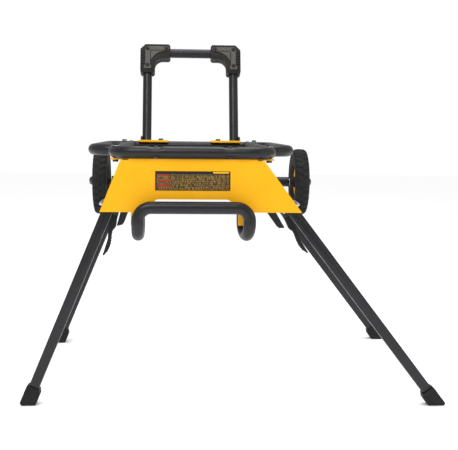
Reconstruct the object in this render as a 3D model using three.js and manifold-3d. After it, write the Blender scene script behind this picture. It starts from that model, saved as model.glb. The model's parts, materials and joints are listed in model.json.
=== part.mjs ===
// Folding, rolling tool stand: a black tube frame with yellow steel aprons, four folding legs with
// sprung release levers, a pull grip at the near end, two wheels and an upright stand loop at the far end.
// Millimetres, +Z up, X across the stand, Y from the grip end towards the wheels.
// The finished group stands on Z = 0, centred on its own plan outline.

import * as THREE from 'three';
import { mergeVertices } from 'three/addons/utils/BufferGeometryUtils.js';
import Module from 'manifold-3d';

const wasm = await Module();
wasm.setup();

// ---------------------------------------------------------------- driving dimensions
const GAP = 0.3;                    // clearance kept between neighbouring solids
const RUN = 0.6;                    // diametral running clearance on pins
const DEG = Math.PI / 180;

const TUBE = 28.6;                  // outside diameter of the frame, grip and loop tubes
const WALL = 1.6;
const SHEET = 2.5;                  // thickness of the pressed steel sheets

const FRAME_Z = 616;                // height of the frame tubes' axis
const NARROW_HALF = 181;            // half width of the narrow front tube, on its axis
const WIDE_HALF = 249;              // half width of the wide rear tube, on its axis
const WIDE_Y = 205;                 // where the wide rear tube starts
const FAR_Y = 720;                  // axis of the far cross bar
const FRAME_BEND = 52;

const APRON_TOP = FRAME_Z - 17.9;
const APRON_BOTTOM = FRAME_Z - 136;
const APRON_TOP_X = [-164.5, 163.6];
const APRON_BOTTOM_X = [-212, 252];
const NEAR_APRON_Y = -1;            // middle of the near apron sheet
const FAR_APRON_Y = 733.5;
const NEAR_PLATES_Y = [47.5, 106.5];    // middles of the two near leg plates
const FAR_PLATE_Y = 674.5;          // middle of the far inner leg plate

const LEG = 25;                     // leg tube, across the stand
const LEG_DEEP = 24;                // leg tube, along the stand
const LEG_WALL = 1.8;
const PIVOT_BOLT = 10;
const PIVOT_Z = FRAME_Z - 33;
const SIDES = {
  left: { sign: -1, angle: 22.56, pivotX: { near: -156.9, far: -166.7 }, y: { near: 92, far: 690 },
    lever: { near: 108, far: 108 } },
  right: { sign: 1, angle: 37.63, pivotX: { near: 158.5, far: 167.5 }, y: { near: 64.5, far: 718 },
    lever: { near: 122, far: 146 } },
};

const GRIP_Y = -30;                 // axis of the grip bar, in front of the apron
const GRIP_X = { left: -124.1, right: 128.9 };  // the front legs of the grip
const GRIP_TOE = { left: 0, right: 12 };    // how far the rear legs stand in from them
const GRIP_Z = FRAME_Z - 123;
const GRIP_BEND = 30;

const AXLE_Y = 840;
const AXLE_Z = FRAME_Z - 117.5;
const AXLE_TUBE = 31.75;
const AXLE = 12.7;
const TYRE_R = 108;
const TYRE_W = 46;
const WHEEL_X = { left: -283.5, right: 363 };
const HUB_R = 52;
const WHEEL_SIDES = 28;

const LOOP_LEAN = 18;               // the upright loop leans away from the frame
const LOOP_X = 3.5;                 // the loop stands a little to the right of the frame's middle
const LOOP_Y = 762;
const LOOP_HALF = 138.2;
const LOOP_RISE = 311;              // from the frame axis to the top bar, along the loop
const ELBOW_W = 46;
const ELBOW_ARM = 96;
const ELBOW_DEEP = 40;

// ---------------------------------------------------------------- materials
function paint(color, roughness, metalness) {
  return new THREE.MeshStandardMaterial({ color, roughness, metalness });
}

const blackSteel = () => paint(0x2b2b30, 0.42, 0.35);
const yellowSteel = () => paint(0xf7b61e, 0.45, 0.15);
const blackPlastic = () => paint(0x302f2c, 0.62, 0.0);
const blackRubber = () => paint(0x262626, 0.8, 0.0);
const yellowPlastic = () => paint(0xf2ac18, 0.5, 0.0);
const zincSteel = () => paint(0xb9bcbf, 0.35, 0.9);
const darkZinc = () => paint(0x3a3936, 0.45, 0.7);

// ---------------------------------------------------------------- solids
// A closed three.js geometry as a solid that can be joined and cut.
function solid(geometry) {
  const bare = geometry.clone();
  bare.deleteAttribute('normal');
  bare.deleteAttribute('uv');
  const merged = mergeVertices(bare, 1e-3);
  const index = merged.index ? merged.index.array : Array.from(merged.attributes.position.array.keys());
  return new wasm.Manifold(new wasm.Mesh({
    numProp: 3,
    vertProperties: new Float32Array(merged.attributes.position.array),
    triVerts: new Uint32Array(index),
  }));
}

function geometryOf(body) {
  const mesh = body.getMesh();
  const geometry = new THREE.BufferGeometry();
  geometry.setAttribute('position', new THREE.BufferAttribute(new Float32Array(mesh.vertProperties), 3));
  geometry.setIndex(new THREE.BufferAttribute(new Uint32Array(mesh.triVerts), 1));
  geometry.computeVertexNormals();
  return geometry;
}

function cut(geometry, tools) {
  return geometryOf(tools.reduce((rest, tool) => rest.subtract(solid(tool)), solid(geometry)));
}

function join(geometry, others) {
  return geometryOf(others.reduce((all, other) => all.add(solid(other)), solid(geometry)));
}

// A cylinder along one axis, centred on a point.
function rod(diameter, length, axis, x, y, z, sides = 16) {
  const geometry = new THREE.CylinderGeometry(diameter / 2, diameter / 2, length, sides);
  if (axis === 'x') geometry.rotateZ(Math.PI / 2);
  if (axis === 'z') geometry.rotateX(Math.PI / 2);
  return geometry.translate(x, y, z);
}

function block(sx, sy, sz, x, y, z) {
  return new THREE.BoxGeometry(sx, sy, sz).translate(x, y, z);
}

// An outline drawn in X and Z, given depth along Y about a middle plane.
function panel(shape, depth, middleY) {
  const geometry = new THREE.ExtrudeGeometry(shape, { depth, bevelEnabled: false, curveSegments: 6 });
  return geometry.rotateX(Math.PI / 2).translate(0, middleY + depth / 2, 0);
}

const outline = (points) => new THREE.Shape(points.map(([x, y]) => new THREE.Vector2(x, y)));

// ---------------------------------------------------------------- bent tubes
// A path of straight runs joined by round bends, sampled once per run end and BEND_STEPS times per bend.
const BEND_STEPS = 4;

class BentPath extends THREE.Curve {
  constructor(corners, radii) {
    super();
    this.stations = [];
    this.directions = [];
    const points = corners.map((corner) => new THREE.Vector3(...corner));
    const last = points.length - 1;
    this.addStation(points[0], points[1].clone().sub(points[0]).normalize());
    for (let i = 1; i < last; i += 1) this.addBend(points[i - 1], points[i], points[i + 1], radii[i - 1]);
    this.addStation(points[last], points[last].clone().sub(points[last - 1]).normalize());
  }

  addStation(point, direction) {
    this.stations.push(point.clone());
    this.directions.push(direction.clone());
  }

  addBend(before, corner, after, radius) {
    const arriving = corner.clone().sub(before).normalize();
    const leaving = after.clone().sub(corner).normalize();
    const turn = arriving.angleTo(leaving);
    const setback = radius * Math.tan(turn / 2);
    const start = corner.clone().addScaledVector(arriving, -setback);
    const towardCentre = leaving.clone().addScaledVector(arriving, -Math.cos(turn)).normalize();
    const centre = start.clone().addScaledVector(towardCentre, radius);
    for (let step = 0; step <= BEND_STEPS; step += 1) {
      const swept = (turn * step) / BEND_STEPS;
      const point = centre.clone().addScaledVector(towardCentre, -radius * Math.cos(swept))
        .addScaledVector(arriving, radius * Math.sin(swept));
      const direction = arriving.clone().multiplyScalar(Math.cos(swept))
        .addScaledVector(towardCentre, Math.sin(swept));
      this.addStation(point, direction);
    }
  }

  get steps() { return this.stations.length - 1; }

  getPointAt(u, target = new THREE.Vector3()) {
    return target.copy(this.stations[Math.round(u * this.steps)]);
  }

  getPoint(t, target) { return this.getPointAt(t, target); }

  getTangentAt(u, target = new THREE.Vector3()) {
    return target.copy(this.directions[Math.round(u * this.steps)]);
  }

  getTangent(t, target) { return this.getTangentAt(t, target); }
}

function ring(diameter, wall, sides) {
  const circle = (radius) => Array.from({ length: sides }, (_, i) => {
    const angle = (2 * Math.PI * i) / sides;
    return new THREE.Vector2(radius * Math.cos(angle), radius * Math.sin(angle));
  });
  const shape = new THREE.Shape(circle(diameter / 2));
  if (wall > 0) shape.holes.push(new THREE.Path(circle(diameter / 2 - wall).reverse()));
  return shape;
}

function bentTube(corners, radii, diameter = TUBE, wall = WALL, sides = 12) {
  const path = new BentPath(corners, radii);
  return new THREE.ExtrudeGeometry(ring(diameter, wall, sides), { steps: path.steps, extrudePath: path });
}

// ---------------------------------------------------------------- fasteners
// A hexagon bolt standing along Z from a seat up to its head, with a nut under the clamped stack.
function throughBolt(diameter, stack, x, y, seatZ) {
  const head = diameter * 0.62;
  const across = diameter * 1.85;
  const shank = rod(diameter, stack + head + 2.5, 'z', x, y, seatZ + (head - stack - 2.5) / 2, 12);
  const cap = rod(across, head, 'z', x, y, seatZ + head / 2, 6);
  const nut = rod(across, head, 'z', x, y, seatZ - stack - head / 2, 6);
  return join(shank, [cap, nut]);
}

// The same bolt lying along Y or X, its head on the low side; a low nut can close the far side.
function crossBolt(diameter, from, to, axis, a, b, nut = diameter * 0.62) {
  const head = diameter * 0.62;
  const across = diameter * 1.85;
  const place = (length, middle, size, sides) => (axis === 'y'
    ? rod(size, length, 'y', a, middle, b, sides)
    : rod(size, length, 'x', middle, a, b, sides));
  const shank = place(to - from + head + nut, (from + to + nut - head) / 2, diameter, 12);
  return join(shank, [place(head, from - head / 2, across, 6), place(nut, to + nut / 2, across, 6)]);
}

// ---------------------------------------------------------------- the assembly
const stand = new THREE.Group();

function add(name, geometry, material, parent = stand) {
  const mesh = new THREE.Mesh(geometry, material);
  mesh.name = name;
  parent.add(mesh);
  return mesh;
}

// ---------------------------------------------------------------- tube frame
const APRON_BOLT = 8;
const NEAR_TAB = { x: NARROW_HALF, y: 33 };
const FAR_TAB = { x: 202, y: FAR_Y };
const SADDLE = { x: [66, 158], y: [FAR_Y - 22, FAR_Y + 14], boltX: 89, thick: 3, lip: 6 };
const TUBE_R = TUBE / 2;

function nearArmX() {
  const along = NEAR_TAB.y - FRAME_BEND;
  return NARROW_HALF - FRAME_BEND + Math.sqrt(FRAME_BEND ** 2 - along ** 2);
}

function frame() {
  const arm = FAR_Y - TUBE_R - GAP;
  const narrow = bentTube([[NARROW_HALF, arm, FRAME_Z], [NARROW_HALF, 0, FRAME_Z],
    [-NARROW_HALF, 0, FRAME_Z], [-NARROW_HALF, arm, FRAME_Z]], [FRAME_BEND, FRAME_BEND]);
  const drill = 2 * TUBE;
  const tabHoles = [-1, 1]
    .map((s) => rod(APRON_BOLT + RUN, drill, 'z', s * nearArmX(), NEAR_TAB.y, FRAME_Z, 12));
  add('front_frame_tube', cut(narrow, tabHoles), blackSteel());

  const stub = NARROW_HALF + TUBE_R + GAP;
  const wide = bentTube([[stub, WIDE_Y, FRAME_Z], [WIDE_HALF, WIDE_Y, FRAME_Z], [WIDE_HALF, FAR_Y, FRAME_Z],
    [-WIDE_HALF, FAR_Y, FRAME_Z], [-WIDE_HALF, WIDE_Y, FRAME_Z], [-stub, WIDE_Y, FRAME_Z]],
  [FRAME_BEND, FRAME_BEND, FRAME_BEND, FRAME_BEND]);
  const holes = [-1, 1].flatMap((s) => [
    rod(APRON_BOLT + RUN, drill, 'z', s * FAR_TAB.x, FAR_TAB.y, FRAME_Z, 12),
    rod(APRON_BOLT + RUN, drill, 'z', s * SADDLE.boltX, FAR_Y, FRAME_Z, 12)]);
  add('rear_frame_tube', cut(wide, holes), blackSteel());
}

// ---------------------------------------------------------------- aprons and leg plates
// Every sheet shares one outline, a trapezium whose ends follow the open legs; the far ones are wider.
const SPREAD = { near: 0, far: 9.5 };

function apronOutline(end, top, bottom) {
  const down = (z) => (APRON_TOP - z) / (APRON_TOP - APRON_BOTTOM);
  const at = (z) => APRON_TOP_X
    .map((x, i) => x + (APRON_BOTTOM_X[i] - x) * down(z) + Math.sign(x) * SPREAD[end]);
  const [topLeft, topRight] = at(top);
  const [bottomLeft, bottomRight] = at(bottom);
  return outline([[bottomLeft, bottom], [bottomRight, bottom], [topRight, top], [topLeft, top]]);
}

// The opening round the grip: straight sides, round upper corners.
function gripOpening(halfWidth, top, radius) {
  const shape = new THREE.Shape();
  shape.moveTo(-halfWidth, APRON_BOTTOM - 20);
  shape.lineTo(halfWidth, APRON_BOTTOM - 20);
  shape.lineTo(halfWidth, top - radius);
  shape.absarc(halfWidth - radius, top - radius, radius, 0, Math.PI / 2, false);
  shape.absarc(radius - halfWidth, top - radius, radius, Math.PI / 2, Math.PI, false);
  return shape;
}

const OPENING = { half: 91, top: APRON_BOTTOM + 29.5, radius: 14 };
const TAB_THICK = 3;
const TAB_TOP = FRAME_Z - TUBE_R - GAP;
const TONGUE = { x: [[-141, -116], [104, 141]], drop: 30, root: 12 };
const NEAR_EAR = { x: [118, 188.4], y: [20, NEAR_PLATES_Y[0] - 3], root: [118, 145] };
const FAR_EAR = { x: [185, 219], y: [FAR_Y - 13, FAR_APRON_Y + SHEET / 2], root: [185, 219] };
const FAR_WEB = [149, 195];
const WEB_ROOT = 12;                // how far a web or lip reaches down over the sheet below it
const NEAR_LIP_X = [-146, 148];     // the middle of the near sheet, which runs up to the tube
const THROUGH = 20;                 // length of a tool that drills one sheet

// A flat strip in the plane of a sheet, from the sheet's top edge up to the tubes.
function strip(x0, x1, middleY) {
  return block(x1 - x0, SHEET, TAB_TOP - APRON_TOP + WEB_ROOT, (x0 + x1) / 2, middleY,
    (TAB_TOP + APRON_TOP - WEB_ROOT) / 2);
}

// Ears folded flat under the tubes, each with a bolt; a root joins an ear to its sheet's upper edge.
function ears(middleY, ear, boltX, boltY) {
  const flat = (s, [x0, x1], [y0, y1]) => block(x1 - x0, y1 - y0, TAB_THICK, (s * (x0 + x1)) / 2,
    (y0 + y1) / 2, TAB_TOP - TAB_THICK / 2);
  const rootY = [Math.min(middleY - SHEET / 2, ear.y[0]), Math.max(middleY + SHEET / 2, ear.y[1])];
  return [-1, 1].map((s) => cut(join(flat(s, ear.x, ear.y), [flat(s, ear.root, rootY)]),
    [rod(APRON_BOLT + RUN, THROUGH, 'z', s * boltX, boltY, TAB_TOP, 12)]));
}

function pivotHoles(end, middleY) {
  return Object.values(SIDES)
    .map((side) => rod(PIVOT_BOLT + RUN, THROUGH, 'y', side.pivotX[end], middleY, PIVOT_Z));
}

function stopHoles(end, middleY) {
  return stopPins(end).map(([x, z]) => rod(STOP_PIN + RUN, THROUGH, 'y', x, middleY, z, 12));
}

function aprons() {
  const opening = panel(gripOpening(OPENING.half, OPENING.top, OPENING.radius), THROUGH, NEAR_APRON_Y);
  const sheet = cut(panel(apronOutline('near', APRON_TOP, APRON_BOTTOM), SHEET, NEAR_APRON_Y), [opening]);
  const tongues = TONGUE.x.map(([x0, x1]) => block(x1 - x0, SHEET, TONGUE.drop + TONGUE.root,
    (x0 + x1) / 2, NEAR_APRON_Y, APRON_BOTTOM + (TONGUE.root - TONGUE.drop) / 2));
  const lip = strip(...NEAR_LIP_X, NEAR_APRON_Y);
  const nearEars = ears(NEAR_APRON_Y, NEAR_EAR, nearArmX(), NEAR_TAB.y);
  add('near_apron', join(sheet, [...nearEars, lip, ...tongues]), yellowSteel());

  const farSheet = panel(apronOutline('far', APRON_TOP, APRON_BOTTOM), SHEET, FAR_APRON_Y);
  const farEars = ears(FAR_APRON_Y, FAR_EAR, FAR_TAB.x, FAR_TAB.y);
  const [webIn, webOut] = FAR_WEB;
  const webs = [strip(webIn, webOut, FAR_APRON_Y), strip(-webOut, -webIn, FAR_APRON_Y)];
  const holes = [...pivotHoles('far', FAR_APRON_Y), ...stopHoles('far', FAR_APRON_Y)];
  add('far_apron', cut(join(farSheet, [...webs, ...farEars]), holes), yellowSteel());
}

// Each open leg leans on a stop pin just outside it, near the lower corner of the aprons.
const STOP_PIN = 9;
const STOP_Z = APRON_BOTTOM + 15;
const STOP_GAP = 0.4;
const STOP_HEAD = 3;                // how far a stop pin stands out of each sheet

function stopPins(end) {
  return Object.values(SIDES).map((side) => {
    const lean = side.angle * DEG;
    const legX = side.pivotX[end] + side.sign * (PIVOT_Z - STOP_Z) * Math.tan(lean);
    return [legX + side.sign * ((LEG / 2 + STOP_PIN / 2 + STOP_GAP) / Math.cos(lean)), STOP_Z];
  });
}

// A leg plate: the apron outline, a little smaller, cut high in the middle and drilled for the leg pivots.
const PLATE_INSET = { top: 1, bottom: 3 };
const ARCH = { half: 104, top: OPENING.top + 12, radius: 40 };
const FLANGE = { wide: 300, deep: 14 };     // folded along the top edge of a plate to stiffen it
const HANGER = { x: [118, NARROW_HALF - TUBE_R - 1.3], foot: 145, under: -12, top: 0 };

// An upright beside each of the frame's arms, with a tab that reaches out to the arm and is welded to it.
function hangers(middleY) {
  const [x0, x1] = HANGER.x;
  const low = APRON_TOP - WEB_ROOT;
  const [under, top] = [FRAME_Z + HANGER.under, FRAME_Z + HANGER.top];
  return [-1, 1].map((s) => join(
    block(HANGER.foot - x0, SHEET, top - low, (s * (x0 + HANGER.foot)) / 2, middleY, (low + top) / 2),
    [block(x1 - x0, SHEET, top - under, (s * (x0 + x1)) / 2, middleY, (under + top) / 2)]));
}

function legPlate(end, part, middleY, flangeTo, extraHoles = []) {
  const top = APRON_TOP - PLATE_INSET.top;
  const shape = panel(apronOutline(end, top, APRON_BOTTOM + PLATE_INSET.bottom), SHEET, middleY);
  const arch = panel(gripOpening(ARCH.half, ARCH.top, ARCH.radius), THROUGH, middleY);
  const low = Math.min(middleY - SHEET / 2, middleY + flangeTo);
  const high = Math.max(middleY + SHEET / 2, middleY + flangeTo);
  const flange = block(FLANGE.wide, high - low, SHEET, 0, (low + high) / 2, top - SHEET / 2);
  const holes = [arch, ...pivotHoles(end, middleY), ...stopHoles(end, middleY), ...extraHoles];
  add(`${end}_${part}_leg_plate`, cut(join(shape, [flange, ...hangers(middleY)]), holes), blackSteel());
}

function legPlates() {
  const [outerY, innerY] = NEAR_PLATES_Y;
  const gripHoles = gripBoltX().map((x) => rod(GRIP_BOLT + RUN, THROUGH, 'y', x, outerY, GRIP_BOLT_Z, 12));
  legPlate('near', 'outer', outerY, -FLANGE.deep, gripHoles);
  legPlate('near', 'inner', innerY, FLANGE.deep);
  legPlate('far', 'inner', FAR_PLATE_Y, -FLANGE.deep);
}

function stopPinNodes() {
  const spans = { near: NEAR_PLATES_Y, far: [FAR_PLATE_Y, FAR_APRON_Y] };
  for (const [end, [from, to]] of Object.entries(spans)) {
    stopPins(end).forEach(([x, z], i) => {
      const pin = rod(STOP_PIN, to - from + SHEET + 2 * STOP_HEAD, 'y', x, (from + to) / 2, z, 12);
      add(`${end}_${Object.keys(SIDES)[i]}_stop_pin`, pin, zincSteel());
    });
  }
}

function apronBolts() {
  const stack = TUBE + GAP + TAB_THICK;
  for (const s of [-1, 1]) {
    const side = s < 0 ? 'left' : 'right';
    const seat = FRAME_Z + TUBE_R + GAP;
    const near = throughBolt(APRON_BOLT, stack + 2 * GAP, s * nearArmX(), NEAR_TAB.y, seat);
    add(`near_${side}_apron_bolt`, near, darkZinc());
    const far = throughBolt(APRON_BOLT, stack + 2 * GAP, s * FAR_TAB.x, FAR_TAB.y, seat);
    add(`far_${side}_apron_bolt`, far, darkZinc());
  }
}

// ---------------------------------------------------------------- saddles for the tool's base
function saddles() {
  for (const s of [-1, 1]) {
    const side = s < 0 ? 'left' : 'right';
    const [x0, x1] = SADDLE.x;
    const [y0, y1] = SADDLE.y;
    const base = FRAME_Z + TUBE_R + GAP;
    const middleX = (s * (x0 + x1)) / 2;
    const plate = block(x1 - x0, y1 - y0, SADDLE.thick, middleX, (y0 + y1) / 2, base + SADDLE.thick / 2);
    const lip = block(x1 - x0, SADDLE.thick, SADDLE.lip, middleX, y0 - SADDLE.thick / 2,
      base + SADDLE.thick - SADDLE.lip / 2);
    const hole = rod(APRON_BOLT + RUN, THROUGH, 'z', s * SADDLE.boltX, FAR_Y, base, 12);
    add(`${side}_saddle_plate`, cut(join(plate, [lip]), [hole]), yellowSteel());
  }
}

// ---------------------------------------------------------------- pull grip
const GRIP_BOLT = 8;
const GRIP_BOLT_Z = APRON_BOTTOM + 34;
const GRIP_NUT = 2;                 // a low nut, because the near right leg swings just behind it
const GRIP_ABOVE_BOLT = 16;
const GRIP_REAR_Y = GRIP_Y + 2 * GRIP_BEND;

const GRIP_DROP = 4.3;              // straight part of the front legs between their two bends

function gripBoltX() {
  return [GRIP_X.left + GRIP_TOE.left, GRIP_X.right - GRIP_TOE.right];
}

// Each end of the grip bar turns down, doubles back under the apron and rises to a bolt in the leg plate.
function grip() {
  const low = GRIP_Z - 2 * GRIP_BEND - GRIP_DROP;
  const top = GRIP_BOLT_Z + GRIP_ABOVE_BOLT;
  const [leftX, rightX] = gripBoltX();
  const side = (frontX, rearX) => [[rearX, GRIP_REAR_Y, top], [rearX, GRIP_REAR_Y, low],
    [frontX, GRIP_Y, low], [frontX, GRIP_Y, GRIP_Z]];
  const path = [...side(GRIP_X.left, leftX), ...side(GRIP_X.right, rightX).reverse()];
  const bend = GRIP_BEND - 0.02;
  const tube = bentTube(path, [bend, bend, bend, bend, bend, bend]);
  const holes = gripBoltX().map((x) => rod(GRIP_BOLT + RUN, 2 * TUBE, 'y', x, GRIP_REAR_Y, GRIP_BOLT_Z, 12));
  add('grip_tube', cut(tube, holes), blackSteel());
  const boltFrom = GRIP_REAR_Y - TUBE_R - GAP;
  const boltTo = NEAR_PLATES_Y[0] + SHEET / 2 + GAP;
  gripBoltX().forEach((x, i) => {
    const bolt = crossBolt(GRIP_BOLT, boltFrom, boltTo, 'y', x, GRIP_BOLT_Z, GRIP_NUT);
    add(`${Object.keys(SIDES)[i]}_grip_bolt`, bolt, zincSteel());
  });
}

// ---------------------------------------------------------------- legs
const FOOT = { outer: 17, inner: 20, up: 46, deep: 29, sole: 9, toe: 7 };
const LEVER_PIN = 5;
const EAR = { thick: 2.5, reach: 14, root: 1, tall: 22, pinInset: 6 };
const LEG_ABOVE_PIVOT = 14;

function roundedBar(width, depth, radius) {
  const shape = new THREE.Shape();
  const [w, d] = [width / 2 - radius, depth / 2 - radius];
  shape.absarc(w, d, radius, 0, Math.PI / 2, false);
  shape.absarc(-w, d, radius, Math.PI / 2, Math.PI, false);
  shape.absarc(-w, -d, radius, Math.PI, 1.5 * Math.PI, false);
  shape.absarc(w, -d, radius, 1.5 * Math.PI, 2 * Math.PI, false);
  return shape;
}

// Legs are drawn hanging straight down from their pivot, then turned out; "inward" is towards the frame.
function leg(end, name) {
  const side = SIDES[name];
  const inward = -side.sign;
  const lean = side.angle * DEG;
  const length = PIVOT_Z / Math.cos(lean);
  const group = new THREE.Group();
  group.position.set(side.pivotX[end], side.y[end], PIVOT_Z);
  group.rotation.y = -side.sign * lean;
  stand.add(group);
  const label = `${end}_${name}`;

  const barBottom = (PIVOT_Z - (LEG / 2) * Math.sin(lean)) / Math.cos(lean) - FOOT.sole;
  const section = roundedBar(LEG, LEG_DEEP, 4);
  const bore = roundedBar(LEG - 2 * LEG_WALL, LEG_DEEP - 2 * LEG_WALL, 2.4);
  section.holes.push(new THREE.Path(bore.getPoints(2).reverse()));
  const depth = barBottom + LEG_ABOVE_PIVOT;
  const bar = new THREE.ExtrudeGeometry(section, { depth, bevelEnabled: false, curveSegments: 2 });
  bar.translate(0, 0, -barBottom);
  const pinX = inward * (LEG / 2 + EAR.reach - EAR.pinInset);
  const earX = inward * (LEG / 2 + (EAR.reach - EAR.root) / 2);
  const levers = [-1, 1].map((s) => block(EAR.reach + EAR.root, EAR.thick, EAR.tall, earX,
    s * (LEG_DEEP / 2 - EAR.thick / 2), -side.lever[end]));
  const drilled = cut(join(bar, levers), [rod(PIVOT_BOLT + RUN, 2 * LEG_DEEP, 'y', 0, 0, 0),
    rod(LEVER_PIN + RUN, 2 * LEG_DEEP, 'y', pinX, 0, -side.lever[end], 12)]);
  add(`${label}_leg`, drilled, blackSteel(), group);

  foot(label, group, inward, lean, length, barBottom);
  lever(end, label, group, side, inward, pinX);

  const plates = end === 'near' ? NEAR_PLATES_Y : [FAR_PLATE_Y, FAR_APRON_Y];
  const bolt = crossBolt(PIVOT_BOLT, plates[0] - SHEET / 2 - GAP, plates[1] + SHEET / 2 + GAP, 'y',
    side.pivotX[end], PIVOT_Z);
  add(`${label}_pivot_bolt`, bolt, zincSteel());
}

// A moulded foot: a sleeve round the end of the leg, cut level with the floor.
function foot(label, group, inward, lean, length, barBottom) {
  const floorAt = (inwardBy) => -(PIVOT_Z - inwardBy * Math.sin(lean)) / Math.cos(lean);
  const up = -(length - FOOT.up);
  const x = (value) => inward * value;
  const shape = outline([
    [x(-FOOT.outer), floorAt(-FOOT.outer) + FOOT.toe],
    [x(FOOT.toe - FOOT.outer), floorAt(FOOT.toe - FOOT.outer)],
    [x(FOOT.inner), floorAt(FOOT.inner)], [x(FOOT.inner), up - 8], [x(LEG / 2 + 1.5), up + 2],
    [x(-LEG / 2 - 1.5), up + 2], [x(-FOOT.outer), up - 3]]);
  const sleeve = panel(shape, FOOT.deep, 0);
  const socket = block(LEG + 2 * GAP, LEG_DEEP + 2 * GAP, 80, 0, 0, -barBottom - GAP + 40);
  add(`${label}_foot`, cut(sleeve, [socket]), blackPlastic(), group);
}

// A paddle on the inner side of the leg; squeezing it towards the leg frees the lock. The near pair curve
// down to a thin tip, the far pair are blunt bars. Profiles are (out from the leg's face, down from the pin).
const LEVER_HALF = 8.8;
const LEVER_PROFILE = {
  near: [[0, -20], [5, -23], [9, -6], [14, 6], [15.5, 20], [17.9, 29], [19.6, 38], [16, 50], [18, 60],
    [21.3, 70], [23.6, 80], [24.6, 90], [23.8, 100], [20.5, 111], [17.5, 113], [16.4, 108], [15.9, 100],
    [14.9, 90], [14.4, 80], [13.2, 70], [9.7, 60], [4, 42], [1, 16], [0, -2]],
  far: [[0, -20], [5, -23], [14, -8], [24, 8], [30, 28], [31.2, 70], [32, 94], [29.5, 103], [17, 112],
    [14.5, 110], [13.5, 98], [10.5, 75], [6.5, 45], [2, 16], [0, -2]],
};

function lever(end, label, group, side, inward, pinX) {
  const z0 = -side.lever[end];
  const face = LEG / 2 + 1;
  const shape = outline(LEVER_PROFILE[end].map(([out, down]) => [inward * (face + out), z0 - down]));
  const paddle = panel(shape, 2 * LEVER_HALF, 0);
  const hole = rod(LEVER_PIN + RUN, 4 * LEVER_HALF, 'y', pinX, 0, z0, 12);
  add(`${label}_lever`, cut(paddle, [hole]), blackPlastic(), group);
  add(`${label}_lever_pin`, rod(LEVER_PIN, LEG_DEEP + 1, 'y', pinX, 0, z0, 12), zincSteel(), group);
}

// ---------------------------------------------------------------- axle and wheels
const BRACKET_X = LOOP_HALF + TUBE_R + 2.5;     // from the loop's middle to the middle of a bracket
const BRACKET_THICK = 4;
const LOOP_BOLT = 8;
const LOOP_FOOT = -30;              // lower end of the loop's side tubes, along the loop

// A point on the upright loop's axis, from its distance along the loop above the frame's axis.
function onLoop(along) {
  return [LOOP_Y + along * Math.sin(LOOP_LEAN * DEG), FRAME_Z + along * Math.cos(LOOP_LEAN * DEG)];
}

function axleBrackets() {
  for (const s of [-1, 1]) {
    const shape = outline([
      [FAR_Y + TUBE_R + 1, FRAME_Z + 12],
      [FAR_Y + TUBE_R + 1, FRAME_Z - 8],
      [AXLE_Y - 26, AXLE_Z - 6],
      [AXLE_Y - 12, AXLE_Z - 24],
      [AXLE_Y + 12, AXLE_Z - 24],
      [AXLE_Y + 25, AXLE_Z],
      [AXLE_Y + 20, AXLE_Z + 18],
      [LOOP_Y + 32, FRAME_Z + 22],
      [LOOP_Y + 8, FRAME_Z + 30],
      [LOOP_Y - 10, FRAME_Z + 26]]);
    const plate = new THREE.ExtrudeGeometry(shape, { depth: BRACKET_THICK, bevelEnabled: false });
    const m = new THREE.Matrix4().makeBasis(new THREE.Vector3(0, 1, 0), new THREE.Vector3(0, 0, 1),
      new THREE.Vector3(1, 0, 0));
    plate.applyMatrix4(m).translate(LOOP_X + s * BRACKET_X - BRACKET_THICK / 2, 0, 0);
    const [by, bz] = onLoop(0);
    const holes = [rod(AXLE_TUBE + 2 * GAP, THROUGH, 'x', LOOP_X + s * BRACKET_X, AXLE_Y, AXLE_Z, 20),
      rod(LOOP_BOLT + RUN, THROUGH, 'x', LOOP_X + s * BRACKET_X, by, bz, 12)];
    add(`${s < 0 ? 'left' : 'right'}_axle_bracket`, cut(plate, holes), blackSteel());
  }
}

function axle() {
  const clear = TYRE_W / 2 + 10;
  const tube = bentTube([[WHEEL_X.left + clear, AXLE_Y, AXLE_Z], [WHEEL_X.right - clear, AXLE_Y, AXLE_Z]], [],
    AXLE_TUBE, (AXLE_TUBE - AXLE) / 2 - GAP, 20);
  add('axle_tube', tube, blackSteel());
  const beyond = TYRE_W / 2 + 14;
  const from = WHEEL_X.left - beyond;
  const to = WHEEL_X.right + beyond;
  add('axle_rod', rod(AXLE, to - from, 'x', (from + to) / 2, AXLE_Y, AXLE_Z, 16), zincSteel());
}

// Half sections are drawn as (radius, along the axle) and turned about the axle, facing out whichever way
// they were drawn. A section off the axis closes on itself; one that touches the axis stays open there.
function turned(points, x, sides, out = 1) {
  const profile = points.map(([radius, along]) => new THREE.Vector2(radius, along));
  if (profile[0].x > 0) profile.push(profile[0].clone());
  if (THREE.ShapeUtils.isClockWise(profile)) profile.reverse();
  const geometry = new THREE.LatheGeometry(profile, sides);
  return geometry.rotateZ(-out * Math.PI / 2).translate(x, AXLE_Y, AXLE_Z);
}

// The whole half section of a wheel part, from the points on its outer side.
function mirrored(points) {
  return [...points, ...points.map(([radius, along]) => [radius, -along]).reverse()];
}

const BOSS = { top: 17, foot: 19, out: 7 };

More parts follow.
